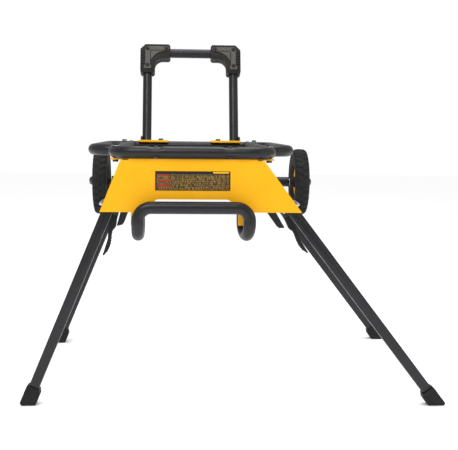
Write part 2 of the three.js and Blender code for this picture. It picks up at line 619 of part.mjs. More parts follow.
function wheels() {
  const half = TYRE_W / 2;
  const bore = AXLE / 2 + RUN / 2;
  for (const name of ['left', 'right']) {
    const x = WHEEL_X[name];
    const out = name === 'left' ? -1 : 1;
    const tyreHalf = [[HUB_R + GAP, half - 16], [HUB_R + 8, half - 7], [HUB_R + 20, half - 1],
      [TYRE_R - 22, half], [TYRE_R - 6, half - 2], [TYRE_R, half - 9]];
    add(`${name}_tyre`, turned(mirrored(tyreHalf), x, WHEEL_SIDES), blackRubber());
    const hubHalf = [[bore, half + BOSS.out], [BOSS.top, half + BOSS.out], [BOSS.foot, half - 17],
      [HUB_R - 12, half - 19], [HUB_R - 6, half - 12], [HUB_R, half - 13]];
    add(`${name}_wheel_hub`, turned(mirrored(hubHalf), x, WHEEL_SIDES), yellowPlastic());
    const capX = x + out * (half + BOSS.out + 1);
    const cap = [[0, 10], [7, 10], [12, 7], [14, 0.4], [AXLE / 2 + GAP, 0.4], [AXLE / 2 + GAP, 7.5],
      [0, 7.5]];
    add(`${name}_axle_cap`, turned(cap, capX, 16, out), darkZinc());
  }
}

// ---------------------------------------------------------------- upright loop
const TUBE_END = 22;                // the loop's tubes stop this far short of the corner, inside the elbows
const ELBOW_CORNER = { chamfer: 16, hollow: 26, nick: 5 };

// Drawn upright about the frame's axis height, then leaned back as one group.
function loop() {
  const group = new THREE.Group();
  group.position.set(LOOP_X, LOOP_Y, FRAME_Z);
  group.rotation.x = -LOOP_LEAN * DEG;
  stand.add(group);

  const sideTop = LOOP_RISE - TUBE_END;
  for (const s of [-1, 1]) {
    const name = s < 0 ? 'left' : 'right';
    const tube = bentTube([[s * LOOP_HALF, 0, LOOP_FOOT], [s * LOOP_HALF, 0, sideTop]], []);
    const drilled = cut(tube, [rod(LOOP_BOLT + RUN, 2 * TUBE, 'x', s * LOOP_HALF, 0, 0, 12)]);
    add(`${name}_loop_tube`, drilled, blackSteel(), group);
    elbow(name, s, group);
    const [y, z] = onLoop(0);
    const inner = LOOP_X + s * (LOOP_HALF - TUBE_R - GAP);
    const outer = LOOP_X + s * (BRACKET_X + BRACKET_THICK / 2 + GAP);
    const [from, to] = [inner, outer].sort((a, b) => a - b);
    add(`${name}_loop_bolt`, crossBolt(LOOP_BOLT, from, to, 'x', y, z), zincSteel());
  }
  const barEnd = LOOP_HALF - TUBE_END;
  add('loop_top_tube', bentTube([[-barEnd, 0, LOOP_RISE], [barEnd, 0, LOOP_RISE]], []), blackSteel(), group);
}

// A two-piece plastic corner clamped round both tubes: chamfered outside, concave inside.
function elbow(name, s, group) {
  const outer = LOOP_HALF + ELBOW_W / 2;
  const top = LOOP_RISE + ELBOW_W / 2;
  const inner = outer - ELBOW_W;
  const under = top - ELBOW_W;
  const { chamfer, hollow, nick } = ELBOW_CORNER;
  const shape = new THREE.Shape();
  shape.moveTo(outer - ELBOW_ARM, top - nick);
  shape.lineTo(outer - ELBOW_ARM + nick, top);
  shape.lineTo(outer - chamfer, top);
  shape.lineTo(outer, top - chamfer);
  shape.lineTo(outer, top - ELBOW_ARM + nick);
  shape.lineTo(outer - nick, top - ELBOW_ARM);
  shape.lineTo(inner + nick, top - ELBOW_ARM);
  shape.lineTo(inner, top - ELBOW_ARM + nick);
  shape.lineTo(inner, under - hollow);
  shape.absarc(inner - hollow, under - hollow, hollow, 0, Math.PI / 2, false);
  shape.lineTo(outer - ELBOW_ARM + nick, under);
  shape.lineTo(outer - ELBOW_ARM, under + nick);
  const bore = TUBE + 4 * GAP;
  const drill = 200;
  const tools = [rod(bore, drill, 'z', LOOP_HALF, 0, LOOP_RISE - TUBE_END + GAP - drill / 2, 24),
    rod(bore, drill, 'x', LOOP_HALF - TUBE_END + GAP - drill / 2, 0, LOOP_RISE, 24)];
  for (const [face, middle] of [['front', -1], ['rear', 1]]) {
    const depth = ELBOW_DEEP / 2 - GAP / 2;
    const shell = cut(panel(shape, depth, middle * (ELBOW_DEEP / 4 + GAP / 4)), tools);
    if (s < 0) shell.applyMatrix4(new THREE.Matrix4().makeRotationZ(Math.PI));
    const label = s < 0 ? { front: 'rear', rear: 'front' }[face] : face;
    add(`${name}_elbow_${label}`, shell, blackPlastic(), group);
  }
}

// ---------------------------------------------------------------- blank rating plate on the near apron
const PLATE = { wide: 171, high: 44, thick: 0.8, z: APRON_BOTTOM + 72 };

function ratingPlate() {
  const front = NEAR_APRON_Y - SHEET / 2 - GAP;
  const plate = block(PLATE.wide, PLATE.thick, PLATE.high, 0, front - PLATE.thick / 2, PLATE.z);
  add('rating_plate', plate, paint(0x6b5a3c, 0.5, 0.1));
}

// ---------------------------------------------------------------- build
frame();
aprons();
legPlates();
stopPinNodes();
apronBolts();
saddles();
grip();
for (const end of ['near', 'far']) for (const name of Object.keys(SIDES)) leg(end, name);
axleBrackets();
axle();
wheels();
loop();
ratingPlate();

// The plan outline's centre becomes the origin.
const bounds = new THREE.Box3().setFromObject(stand, true);
const centre = bounds.getCenter(new THREE.Vector3());
stand.position.set(-centre.x, -centre.y, -bounds.min.z);
stand.updateMatrixWorld(true);

export default stand;
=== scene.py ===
"""Looks of a folding, rolling tool stand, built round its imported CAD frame. Metres, +Z up."""
import json
import math

import bmesh
import bpy
from mathutils import Matrix, Vector

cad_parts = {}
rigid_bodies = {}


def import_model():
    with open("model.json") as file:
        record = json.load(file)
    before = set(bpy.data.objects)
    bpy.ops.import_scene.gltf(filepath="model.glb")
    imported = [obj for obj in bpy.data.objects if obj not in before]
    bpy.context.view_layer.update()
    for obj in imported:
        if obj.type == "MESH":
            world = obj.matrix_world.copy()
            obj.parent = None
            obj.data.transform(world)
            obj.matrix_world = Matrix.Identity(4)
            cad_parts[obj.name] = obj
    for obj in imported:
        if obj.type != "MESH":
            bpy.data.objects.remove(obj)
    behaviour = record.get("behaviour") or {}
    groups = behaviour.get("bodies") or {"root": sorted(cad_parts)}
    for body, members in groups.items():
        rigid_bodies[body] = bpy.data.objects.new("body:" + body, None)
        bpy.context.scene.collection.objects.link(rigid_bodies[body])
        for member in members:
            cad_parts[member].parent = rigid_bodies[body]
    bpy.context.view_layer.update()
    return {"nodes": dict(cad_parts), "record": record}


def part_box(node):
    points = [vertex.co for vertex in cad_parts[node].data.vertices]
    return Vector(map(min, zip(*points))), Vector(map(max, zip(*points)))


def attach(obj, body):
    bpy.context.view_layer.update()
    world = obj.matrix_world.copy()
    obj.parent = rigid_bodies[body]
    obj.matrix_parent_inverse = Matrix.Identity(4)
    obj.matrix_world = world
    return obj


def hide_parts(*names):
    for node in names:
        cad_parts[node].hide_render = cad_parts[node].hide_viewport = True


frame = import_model()
NODES = frame["nodes"]
BEHAVIOUR = frame["record"]["behaviour"]
JOINTS = {j["name"]: j for j in BEHAVIOUR["joints"]}
BODY_OF = {n: b for b, ns in BEHAVIOUR["bodies"].items() for n in ns}
SLOT_OF = {r["node"]: r["material_slot"] for r in frame["record"]["subparts"]}
SIDES = ("left", "right")
ENDS = ("near", "far")
SIGN = {"left": -1.0, "right": 1.0}
X, Y, Z = Vector((1, 0, 0)), Vector((0, 1, 0)), Vector((0, 0, 1))


def corners(node):
    """Lowest corner, highest corner and middle of a CAD node."""
    low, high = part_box(node)
    return low, high, (low + high) / 2


# ---- camera, light, floor
FOCAL_PX, WIDTH_PX, SENSOR_MM = 833.3, 458.0, 36.0
CAMERA_YAW, CAMERA_PITCH, CAMERA_ROLL = 3.4, 6.59, 0.6  # degrees
CAMERA_FROM_BAR = Vector((-0.0293, -1.9, 0.055))
BAR_RADIUS = 0.0143
CLIP_NEAR, CLIP_FAR = 0.05, 50.0
SKY_SEEN, SKY_LIGHT, SKY_REFLECTED = 1.0, 0.99, 0.5
LIGHTS = (  # name, place, aimed at, size, watts
    ("key_front", (-0.9, -2.3, 2.9), (0, 0, 0.55), (1.8, 1.2), 44),
    ("fill_right", (2.8, -1.6, 1.6), (0, 0, 0.5), (1.6, 1.6), 10),
    ("top_soft", (0.2, 0.3, 3.0), (0, 0, 0.5), (1.6, 1.6), 34),
)
FLOOR_SIZE, FLOOR_PLACE, FLOOR_TONE = 16, (0, 2.0, -0.0005), 0.97


def camera():
    """Looks at the stand from in front of its near cross bar and a little above it."""
    yaw, pitch, roll = (math.radians(v) for v in (CAMERA_YAW, CAMERA_PITCH, CAMERA_ROLL))
    forward = Vector((math.sin(yaw) * math.cos(pitch), math.cos(yaw) * math.cos(pitch), -math.sin(pitch)))
    level = Vector((math.cos(yaw), -math.sin(yaw), 0.0))
    up = level.cross(forward)
    right = level * math.cos(roll) + up * math.sin(roll)
    top = up * math.cos(roll) - level * math.sin(roll)
    low, _, mid = corners("front_frame_tube")
    bar = Vector((mid.x, low.y + BAR_RADIUS, mid.z))
    data = bpy.data.cameras.new("photo_camera")
    data.sensor_width = SENSOR_MM
    data.lens = FOCAL_PX / WIDTH_PX * SENSOR_MM
    data.clip_start, data.clip_end = CLIP_NEAR, CLIP_FAR
    cam = bpy.data.objects.new("photo_camera", data)
    turned = Matrix((right, top, -forward)).transposed().to_4x4()
    cam.matrix_world = Matrix.Translation(bar + CAMERA_FROM_BAR) @ turned
    bpy.context.scene.collection.objects.link(cam)
    bpy.context.scene.camera = cam


def area_light(name, place, target, size, watts):
    data = bpy.data.lights.new(name, "AREA")
    data.shape = "RECTANGLE"
    data.size, data.size_y = size
    data.energy = watts
    light = bpy.data.objects.new(name, data)
    light.location = place
    light.rotation_mode = "QUATERNION"
    light.rotation_quaternion = (Vector(target) - Vector(place)).to_track_quat("-Z", "Y")
    bpy.context.scene.collection.objects.link(light)


def sky():
    """White, with its own strength for the camera, for light and for reflections."""
    world = bpy.data.worlds.new("studio")
    world.use_nodes = True
    nodes, links = world.node_tree.nodes, world.node_tree.links
    nodes["Background"].inputs["Color"].default_value = (1.0, 1.0, 1.0, 1.0)
    rays = nodes.new("ShaderNodeLightPath")
    amounts = {"Is Camera Ray": SKY_SEEN - SKY_LIGHT, "Is Glossy Ray": SKY_REFLECTED - SKY_LIGHT}
    steps = []
    for ray, amount in amounts.items():
        step = nodes.new("ShaderNodeMath")
        step.operation = "MULTIPLY_ADD"
        links.new(rays.outputs[ray], step.inputs[0])
        step.inputs[1].default_value = amount
        steps.append(step)
    seen, reflected = steps
    seen.inputs[2].default_value = SKY_LIGHT
    links.new(seen.outputs[0], reflected.inputs[2])
    links.new(reflected.outputs[0], nodes["Background"].inputs["Strength"])
    bpy.context.scene.world = world


def studio():
    bpy.context.scene.view_settings.view_transform = "Standard"
    sky()
    for light in LIGHTS:
        area_light(*light)
    bpy.ops.mesh.primitive_plane_add(size=FLOOR_SIZE, location=FLOOR_PLACE)
    floor = bpy.context.object
    floor.name = "floor"
    mat = bpy.data.materials.new("pale_floor")
    mat.use_nodes = True
    shader = mat.node_tree.nodes["Principled BSDF"]
    shader.inputs["Base Color"].default_value = (FLOOR_TONE, FLOOR_TONE, FLOOR_TONE, 1.0)
    shader.inputs["Roughness"].default_value = 1.0
    shader.inputs["Specular IOR Level"].default_value = 0.0
    floor.data.materials.append(mat)


# ---- materials
class Material:
    """A procedural material: object-space noises drive colour, roughness and bump."""

    def __init__(self, name, metallic=0.0, specular=0.5):
        self.mat = bpy.data.materials.new(name)
        self.mat.use_nodes = True
        self.tree = self.mat.node_tree
        self.shader = self.tree.nodes["Principled BSDF"]
        self.shader.inputs["Metallic"].default_value = metallic
        self.shader.inputs["Specular IOR Level"].default_value = specular
        self.place = self.tree.nodes.new("ShaderNodeTexCoord").outputs["Object"]
        self.normal = None

    def link(self, source, target):
        self.tree.links.new(source, target)

    def stretched(self, scale):
        """Object coordinates scaled differently along each axis."""
        node = self.tree.nodes.new("ShaderNodeMapping")
        node.inputs["Scale"].default_value = scale
        self.link(self.place, node.inputs["Vector"])
        return node.outputs["Vector"]

    def noise(self, scale, detail, roughness=0.55, vector=None, distortion=0.0):
        node = self.tree.nodes.new("ShaderNodeTexNoise")
        node.inputs["Scale"].default_value = scale
        node.inputs["Detail"].default_value = detail
        node.inputs["Roughness"].default_value = roughness
        node.inputs["Distortion"].default_value = distortion
        self.link(vector or self.place, node.inputs["Vector"])
        return node.outputs["Fac"]

    def cells(self, scale):
        node = self.tree.nodes.new("ShaderNodeTexVoronoi")
        node.inputs["Scale"].default_value = scale
        self.link(self.place, node.inputs["Vector"])
        return node.outputs["Distance"]

    def ramp(self, value, low, dark, high, light):
        """Runs from one colour to the other as the value goes from low to high."""
        node = self.tree.nodes.new("ShaderNodeValToRGB")
        for element, at, colour in zip(node.color_ramp.elements, (low, high), (dark, light)):
            element.position = at
            element.color = (*colour, 1.0)
        self.link(value, node.inputs["Fac"])
        return node.outputs["Color"]

    def mix(self, factor, a, b):
        node = self.tree.nodes.new("ShaderNodeMix")
        node.data_type = "RGBA"
        self.link(factor, node.inputs["Factor"])
        for socket, value in ((node.inputs[6], a), (node.inputs[7], b)):
            if hasattr(value, "is_output"):
                self.link(value, socket)
            else:
                socket.default_value = (*value, 1.0)
        return node.outputs[2]

    def span(self, value, low, high, to_low, to_high):
        """Maps low..high onto to_low..to_high, held at the ends."""
        node = self.tree.nodes.new("ShaderNodeMapRange")
        for name, number in (("From Min", low), ("From Max", high), ("To Min", to_low), ("To Max", to_high)):
            node.inputs[name].default_value = number
        self.link(value, node.inputs["Value"])
        return node.outputs["Result"]

    def colour(self, source):
        self.link(source, self.shader.inputs["Base Color"])

    def rough(self, source):
        self.link(source, self.shader.inputs["Roughness"])

    def bump(self, height, distance, strength):
        node = self.tree.nodes.new("ShaderNodeBump")
        node.inputs["Strength"].default_value = strength
        node.inputs["Distance"].default_value = distance
        self.link(height, node.inputs["Height"])
        if self.normal is not None:
            self.link(self.normal, node.inputs["Normal"])
        self.normal = node.outputs["Normal"]
        self.link(self.normal, self.shader.inputs["Normal"])


def coated_steel(name, deep, light, worn, roughness, specular):
    """Powder coat: orange-peel bump, faint clouding, thin scuffs and patchy roughness."""
    m = Material(name, specular=specular)
    base = m.ramp(m.noise(scale=9.0, detail=4.0), 0.3, deep, 0.72, light)
    drawn_out = m.stretched((1.0, 0.35, 2.6))
    scuffs = m.noise(scale=34.0, detail=6.0, roughness=0.72, vector=drawn_out, distortion=0.6)
    m.colour(m.mix(m.span(scuffs, 0.665, 0.72, 0.0, 0.55), base, worn))
    patches = m.noise(scale=26.0, detail=5.0, roughness=0.6)
    m.rough(m.span(patches, 0.3, 0.7, roughness - 0.07, roughness + 0.09))
    m.bump(m.noise(scale=620.0, detail=2.0, roughness=0.5), distance=0.00022, strength=0.35)
    m.bump(m.noise(scale=110.0, detail=3.0, roughness=0.5), distance=0.0004, strength=0.12)
    return m.mat


def moulded_plastic(name, deep, light, roughness):
    """Fine spark-eroded grain with slow tone changes, and rubbed patches painted lighter: partly wear, partly
    a painted sheen.
    """
    m = Material(name, specular=0.22)
    clouds = m.noise(scale=14.0, detail=4.0)
    # Rubbed patches take the plastic's colour made 1.7 times lighter: partly wear, partly a painted sheen.
    rubbed_sheen_mask = m.span(m.noise(scale=48.0, detail=5.0, roughness=0.65), 0.62, 0.75, 0.0, 0.4)
    base = m.ramp(clouds, 0.3, deep, 0.75, light)
    painted_sheen_colour = tuple(min(1.0, v * 1.7 + 0.01) for v in light)
    m.colour(m.mix(rubbed_sheen_mask, base, painted_sheen_colour))
    m.rough(m.span(m.noise(scale=60.0, detail=4.0), 0.3, 0.7, roughness - 0.08, roughness + 0.08))
    m.bump(m.cells(scale=900.0), distance=0.00016, strength=0.4)
    m.bump(m.noise(scale=240.0, detail=2.0), distance=0.0003, strength=0.2)
    return m.mat


def tyre_rubber():
    """Dull black rubber with a little dust in it."""
    m = Material("tyre_rubber", specular=0.16)
    dust = m.span(m.noise(scale=30.0, detail=6.0, roughness=0.7), 0.5, 0.75, 0.0, 0.35)
    tone = m.noise(scale=12.0, detail=3.0)
    base = m.ramp(tone, 0.3, (0.012, 0.012, 0.012), 0.7, (0.021, 0.0207, 0.0198))
    m.colour(m.mix(dust, base, (0.032, 0.031, 0.028)))
    m.rough(m.span(m.noise(scale=80.0, detail=4.0), 0.3, 0.7, 0.62, 0.82))
    m.bump(m.noise(scale=420.0, detail=4.0, roughness=0.6), distance=0.0004, strength=0.5)
    return m.mat


def plated_steel(name, dark, light, roughness):
    """Zinc plating with slow tone changes."""
    m = Material(name, metallic=1.0)
    m.colour(m.ramp(m.noise(scale=60.0, detail=5.0, roughness=0.6), 0.3, dark, 0.7, light))
    m.rough(m.span(m.noise(scale=140.0, detail=4.0), 0.3, 0.7, roughness - 0.06, roughness + 0.1))
    m.bump(m.noise(scale=700.0, detail=3.0, roughness=0.6), distance=0.0001, strength=0.4)
    return m.mat


def printed(name, colour, vary=0.12):
    """A flat printed colour that varies a little."""
    m = Material(name, specular=0.25)
    lighter = tuple(min(1.0, v * (1 + vary) + 0.004) for v in colour)
    m.colour(m.ramp(m.noise(scale=55.0, detail=5.0, roughness=0.65), 0.3, colour, 0.75, lighter))
    m.rough(m.span(m.noise(scale=90.0, detail=3.0), 0.3, 0.7, 0.34, 0.5))
    m.bump(m.noise(scale=900.0, detail=2.0), distance=0.00008, strength=0.3)
    return m.mat


def speckled_print():
    """A dark ground with rows of fine, unreadable flecks of the sheet's yellow showing through."""
    m = Material("print_speckle", specular=0.25)
    flecks = m.noise(scale=1.0, detail=2.0, roughness=0.6, vector=m.stretched((520.0, 520.0, 150.0)))
    rows = m.noise(scale=1.0, detail=1.0, roughness=0.5, vector=m.stretched((2.0, 2.0, 620.0)))
    shown = m.span(flecks, 0.42, 0.62, 0.0, 0.75)
    ground = m.mix(shown, (0.035, 0.025, 0.012), (0.42, 0.24, 0.03))
    m.colour(m.mix(m.span(rows, 0.45, 0.6, 0.0, 0.7), ground, (0.04, 0.028, 0.014)))
    m.rough(m.span(m.noise(scale=90.0, detail=3.0), 0.3, 0.7, 0.36, 0.5))
    m.bump(m.noise(scale=900.0, detail=2.0), distance=0.00008, strength=0.3)
    return m.mat


def weld_metal():
    """Coated weld metal, a little rougher than the tube."""
    m = Material("weld_bead", specular=0.3)
    tone = m.noise(scale=160.0, detail=4.0)
    m.colour(m.ramp(tone, 0.3, (0.006, 0.006, 0.007), 0.75, (0.014, 0.014, 0.016)))
    m.rough(m.span(m.noise(scale=200.0, detail=3.0), 0.3, 0.7, 0.36, 0.55))
    m.bump(m.noise(scale=900.0, detail=3.0), distance=0.0003, strength=0.5)
    return m.mat


MATS = {
    "black_steel": coated_steel(
        "black_powder_coat", deep=(0.0056, 0.0057, 0.0074), light=(0.0104, 0.0106, 0.0138),
        worn=(0.034, 0.034, 0.039), roughness=0.35, specular=0.38),
    "yellow_steel": coated_steel(
        "yellow_powder_coat", deep=(0.76, 0.365, 0.004), light=(0.81, 0.395, 0.006),
        worn=(0.6, 0.3, 0.02), roughness=0.42, specular=0.16),
    "black_plastic": moulded_plastic(
        "black_moulding", deep=(0.0078, 0.0074, 0.007), light=(0.015, 0.0141, 0.0128), roughness=0.55),
    "elbow_face": moulded_plastic(
        "elbow_face_moulding", deep=(0.062, 0.058, 0.051), light=(0.092, 0.087, 0.077), roughness=0.6),
    "tyre_rubber": tyre_rubber(),
    "yellow_plastic": moulded_plastic(
        "yellow_moulding", deep=(0.8, 0.37, 0.005), light=(0.86, 0.41, 0.008), roughness=0.42),
    "zinc_steel": plated_steel(
        "bright_zinc", dark=(0.42, 0.43, 0.45), light=(0.66, 0.67, 0.68), roughness=0.32),
    "dark_zinc": plated_steel(
        "dark_zinc", dark=(0.07, 0.068, 0.066), light=(0.16, 0.155, 0.15), roughness=0.38),
    "weld": weld_metal(),
    "plate_print": printed("plate_ground", (0.01, 0.009, 0.008)),
    "print_dark": printed("print_dark", (0.014, 0.012, 0.012)),
    "print_red": printed("print_red", (0.2, 0.022, 0.012), vary=0.6),
    "print_brown": speckled_print(),
    "print_yellow": printed("print_yellow", (0.8, 0.4, 0.01)),
}

# ---- mesh helpers
MERGE_DISTANCE = 1e-6
FLAT_WITHIN = math.radians(1.0)
ON_AXIS = 1e-7
TUBE_WALL = 0.0016


def finished(obj, material, body, angle=35.0):
    """Gives a new piece its material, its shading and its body."""
    obj.data.materials.clear()
    obj.data.materials.append(MATS[material])
    obj.data.polygons.foreach_set("use_smooth", [True] * len(obj.data.polygons))
    obj.data.set_sharp_from_angle(angle=math.radians(angle))
    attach(obj, body)
    return obj


def new_object(name, verts, faces):
    mesh = bpy.data.meshes.new(name)
    mesh.from_pydata([tuple(v) for v in verts], [], faces)
    mesh.update()
    obj = bpy.data.objects.new(name, mesh)
    bpy.context.scene.collection.objects.link(obj)
    return obj


def bevelled(obj, width, segments, angle=30.0):
    """Rounds every edge sharper than the angle."""
    mod = obj.modifiers.new("edges", "BEVEL")
    mod.width = width
    mod.segments = segments
    mod.limit_method = "ANGLE"
    mod.angle_limit = math.radians(angle)
    mod.use_clamp_overlap = True
    graph = bpy.context.evaluated_depsgraph_get()
    baked = bpy.data.meshes.new_from_object(obj.evaluated_get(graph))
    obj.modifiers.clear()
    obj.data = baked


def cad_copy(node, width, segments, angle=30.0):
    """A CAD node's own shape with its flat faces joined up and its edges rounded."""
    mesh = bpy.data.meshes.new(f"{node}_body")
    work = bmesh.new()
    work.from_mesh(NODES[node].data)
    bmesh.ops.remove_doubles(work, verts=work.verts, dist=MERGE_DISTANCE)
    bmesh.ops.dissolve_limit(work, angle_limit=FLAT_WITHIN, verts=work.verts, edges=work.edges)
    work.to_mesh(mesh)
    work.free()
    obj = bpy.data.objects.new(f"{node}_body", mesh)
    bpy.context.scene.collection.objects.link(obj)
    bevelled(obj, width, segments, angle)
    finished(obj, SLOT_OF[node], BODY_OF[node])
    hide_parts(node)
    return obj


def bent_path(points, radius, arc_steps, straight):
    """Stations (place, direction) along straight runs joined by round bends."""
    points = [Vector(p) for p in points]
    stations = [(points[0], (points[1] - points[0]).normalized())]

    def run_to(place, direction):
        start = stations[-1][0]
        parts = max(1, int((place - start).length / straight))
        for k in range(1, parts + 1):
            stations.append((start.lerp(place, k / parts), direction))

    for before, corner, after in zip(points, points[1:], points[2:]):
        arriving, leaving = (corner - before).normalized(), (after - corner).normalized()
        turn = arriving.angle(leaving)
        start = corner - arriving * radius * math.tan(turn / 2)
        inward = (leaving - arriving * math.cos(turn)).normalized()
        centre = start + inward * radius
        run_to(start, arriving)
        for k in range(1, arc_steps + 1):
            a = turn * k / arc_steps
            stations.append((centre - inward * radius * math.cos(a) + arriving * radius * math.sin(a),
                             (arriving * math.cos(a) + inward * math.sin(a)).normalized()))
    run_to(points[-1], (points[-1] - points[-2]).normalized())
    return stations


def tube(name, points, radius, bend=0.0, wall=TUBE_WALL, sides=40, arc_steps=18, straight=0.02, shape=None):
    """A hollow tube with open ends along a bent path. shape can move a point of the outer skin."""
    stations = bent_path(points, bend, arc_steps, straight)
    across = stations[0][1].orthogonal().normalized()
    verts = []
    for place, direction in stations:
        across = (across - direction * across.dot(direction)).normalized()
        other = direction.cross(across)
        for r in (radius, radius - wall):
            for k in range(sides):
                a = 2 * math.pi * k / sides
                out = across * math.cos(a) + other * math.sin(a)
                point = place + out * r
                verts.append(shape(point, out) if shape and r == radius else point)
    ring = 2 * sides
    faces = []
    for s in range(len(stations) - 1):
        for k in range(sides):
            n = (k + 1) % sides
            a, b = s * ring + k, s * ring + n
            faces.append((a, b, b + ring, a + ring))
            c, d = s * ring + sides + k, s * ring + sides + n
            faces.append((d, c, c + ring, d + ring))
    last = (len(stations) - 1) * ring
    for k in range(sides):
        n = (k + 1) % sides
        faces.append((n, k, sides + k, sides + n))
        faces.append((last + k, last + n, last + sides + n, last + sides + k))
    return new_object(name, verts, faces)


def bead(name, loop, size, ripple_len=0.0035, sides=8, closed=True):
    """A weld bead: a thin rippled rope laid along a loop of points."""
    count = len(loop)
    verts, faces = [], []
    travelled = 0.0
    for i, place in enumerate(loop):
        before = loop[i - 1] if closed or i else loop[i]
        after = loop[(i + 1) % count] if closed or i < count - 1 else loop[i]
        direction = (after - before).normalized()
        travelled += (loop[i] - loop[i - 1]).length if i else 0.0
        grow = size * (1.0 + 0.16 * math.sin(2 * math.pi * travelled / ripple_len))
        across = direction.orthogonal().normalized()
        other = direction.cross(across)
        for k in range(sides):
            a = 2 * math.pi * k / sides
            verts.append(place + (across * math.cos(a) + other * math.sin(a)) * grow)
    for i in range(count if closed else count - 1):
        j = (i + 1) % count
        shift = 0
        if closed and j == 0:  # the last ring meets the first at its nearest corners
            gaps = [(verts[i * sides] - verts[k]).length for k in range(sides)]
            shift = gaps.index(min(gaps))
        for k in range(sides):
            n = (k + 1) % sides
            m, o = (k + shift) % sides, (n + shift) % sides
            faces.append((i * sides + k, i * sides + n, j * sides + o, j * sides + m))
    if not closed:
        faces.append(tuple(range(sides))[::-1])
        faces.append(tuple((count - 1) * sides + k for k in range(sides)))
    return new_object(name, verts, faces)


def lathe(name, profile, centre, axis, segments=64):
    """Turns (radius, along) points about an axis; the profile closes on itself or ends on the axis."""
    axis = Vector(axis).normalized()
    across = axis.orthogonal().normalized()
    other = axis.cross(across)
    angles = [2 * math.pi * k / segments for k in range(segments)]
    spokes = [across * math.cos(a) + other * math.sin(a) for a in angles]
    verts, faces, rows = [], [], []
    for radius, along in profile:
        middle = Vector(centre) + axis * along
        if radius < ON_AXIS:
            rows.append([len(verts)] * segments)
            verts.append(middle)
        else:
            rows.append(list(range(len(verts), len(verts) + segments)))
            verts += [middle + spoke * radius for spoke in spokes]
    pairs = list(zip(rows, rows[1:]))
    if profile[0][0] >= ON_AXIS or profile[-1][0] >= ON_AXIS:
        pairs.append((rows[-1], rows[0]))
    for low, high in pairs:
        for k in range(segments):
            n = (k + 1) % segments
            unique = list(dict.fromkeys((low[k], low[n], high[n], high[k])))
            if len(unique) > 2:
                faces.append(tuple(unique))
    return outward(new_object(name, verts, faces))


def outward(obj):
    """Turns every face to point out of the piece."""
    work = bmesh.new()
    work.from_mesh(obj.data)
    bmesh.ops.recalc_face_normals(work, faces=work.faces)
    work.to_mesh(obj.data)
    work.free()
    return obj


def extruded(name, outline, depth, matrix, bevel, segments=2):
    """An outline in its own plane, given depth to both sides, bevelled, then placed by a matrix."""
    half = depth / 2
    count = len(outline)
    verts = [(x, y, -half) for x, y in outline] + [(x, y, half) for x, y in outline]
    faces = [tuple(range(count))[::-1], tuple(range(count, 2 * count))]
    faces += [(k, (k + 1) % count, count + (k + 1) % count, count + k) for k in range(count)]
    obj = outward(new_object(name, verts, faces))
    bevelled(obj, bevel, segments)
    obj.data.transform(matrix)
    return obj


def arc(cx, cy, radius, start, end, steps):
    """Points of a round stretch of an outline, angles in degrees."""
    angles = [math.radians(start + (end - start) * k / steps) for k in range(steps + 1)]
    return [(cx + radius * math.cos(a), cy + radius * math.sin(a)) for a in angles]


def box_outline(half_x, half_y, cx=0.0, cy=0.0):
    """The four corners of a rectangle round a point."""
    signs = ((-1, -1), (1, -1), (1, 1), (-1, 1))
    return [(cx + half_x * x, cy + half_y * y) for x, y in signs]


def ring_profile(inner, outer, depth, edge):
    """The section of a flat ring with its outer edges cut off."""
    return [(inner, 0.0), (outer - edge, 0.0), (outer, edge), (outer, depth - edge), (outer - edge, depth),
            (inner, depth)]


def mirrored(profile):
    """A half section and its mirror image, in one closed profile."""
    return profile + [(radius, -along) for radius, along in reversed(profile)]


def joined(name, objects):
    """One object from several loose ones."""
    work = bmesh.new()
    for obj in objects:
        work.from_mesh(obj.data)
        data = obj.data
        bpy.data.objects.remove(obj)
        bpy.data.meshes.remove(data)
    mesh = bpy.data.meshes.new(name)
    work.to_mesh(mesh)
    work.free()
    result = bpy.data.objects.new(name, mesh)
    bpy.context.scene.collection.objects.link(result)
    return result


def basis(x_axis, y_axis, z_axis, origin):
    """A matrix that puts a local frame with these axes at an origin."""
    m = Matrix((x_axis, y_axis, z_axis)).transposed().to_4x4()
    m.translation = Vector(origin)
    return m


# ---- fasteners
HEAD_CHAMFER = 0.14  # part of a hexagon head's height
WASHER_RIM = 0.72  # washer radius, part of the width across flats
WASHER_THICK, WASHER_EDGE = 0.0009, 0.0003
SOCKET_FLOOR, SOCKET_LIP = 0.55, 0.97  # parts of a dome head's height
SOCKET_RADII = (0.38, 0.4)  # parts of its radius
DOME_START, DOME_STEPS, DOME_SKIRT = 66, 8, 0.0004


def hex_head(name, place, axis, across, height, material):
    """A hexagon head with chamfered corners and a washer under it."""
    axis = Vector(axis).normalized()
    side = axis.orthogonal().normalized()
    matrix = basis(side, axis.cross(side), axis, Vector(place) + axis * (height / 2))
    hexagon = arc(0.0, 0.0, across / math.sqrt(3), 0, 300, 5)
    rim = across * WASHER_RIM
    ring = [(0, WASHER_THICK), (rim - WASHER_EDGE, WASHER_THICK), (rim, WASHER_THICK - WASHER_EDGE),
            (rim, 0.0), (0, 0.0)]
    parts = [extruded(f"{name}_hexagon", hexagon, height, matrix, height * HEAD_CHAMFER),
             lathe(f"{name}_washer", ring, place, axis, 28)]
    finished(joined(name, parts), material, "frame")


def dome_head(name, place, axis, radius, height):
    """A low round head with a recessed socket."""
    profile = [(0.0, height * SOCKET_FLOOR), (radius * SOCKET_RADII[0], height * SOCKET_FLOOR),
               (radius * SOCKET_RADII[1], height * SOCKET_LIP)]
    angles = [math.radians(DOME_START - DOME_START * k / DOME_STEPS) for k in range(DOME_STEPS + 1)]
    profile += [(radius * math.cos(a), height * math.sin(a)) for a in angles]
    profile += [(radius, -DOME_SKIRT), (0.0, -DOME_SKIRT)]
    finished(lathe(name, profile, place, axis, 24), "black_steel", "frame")


camera()
studio()

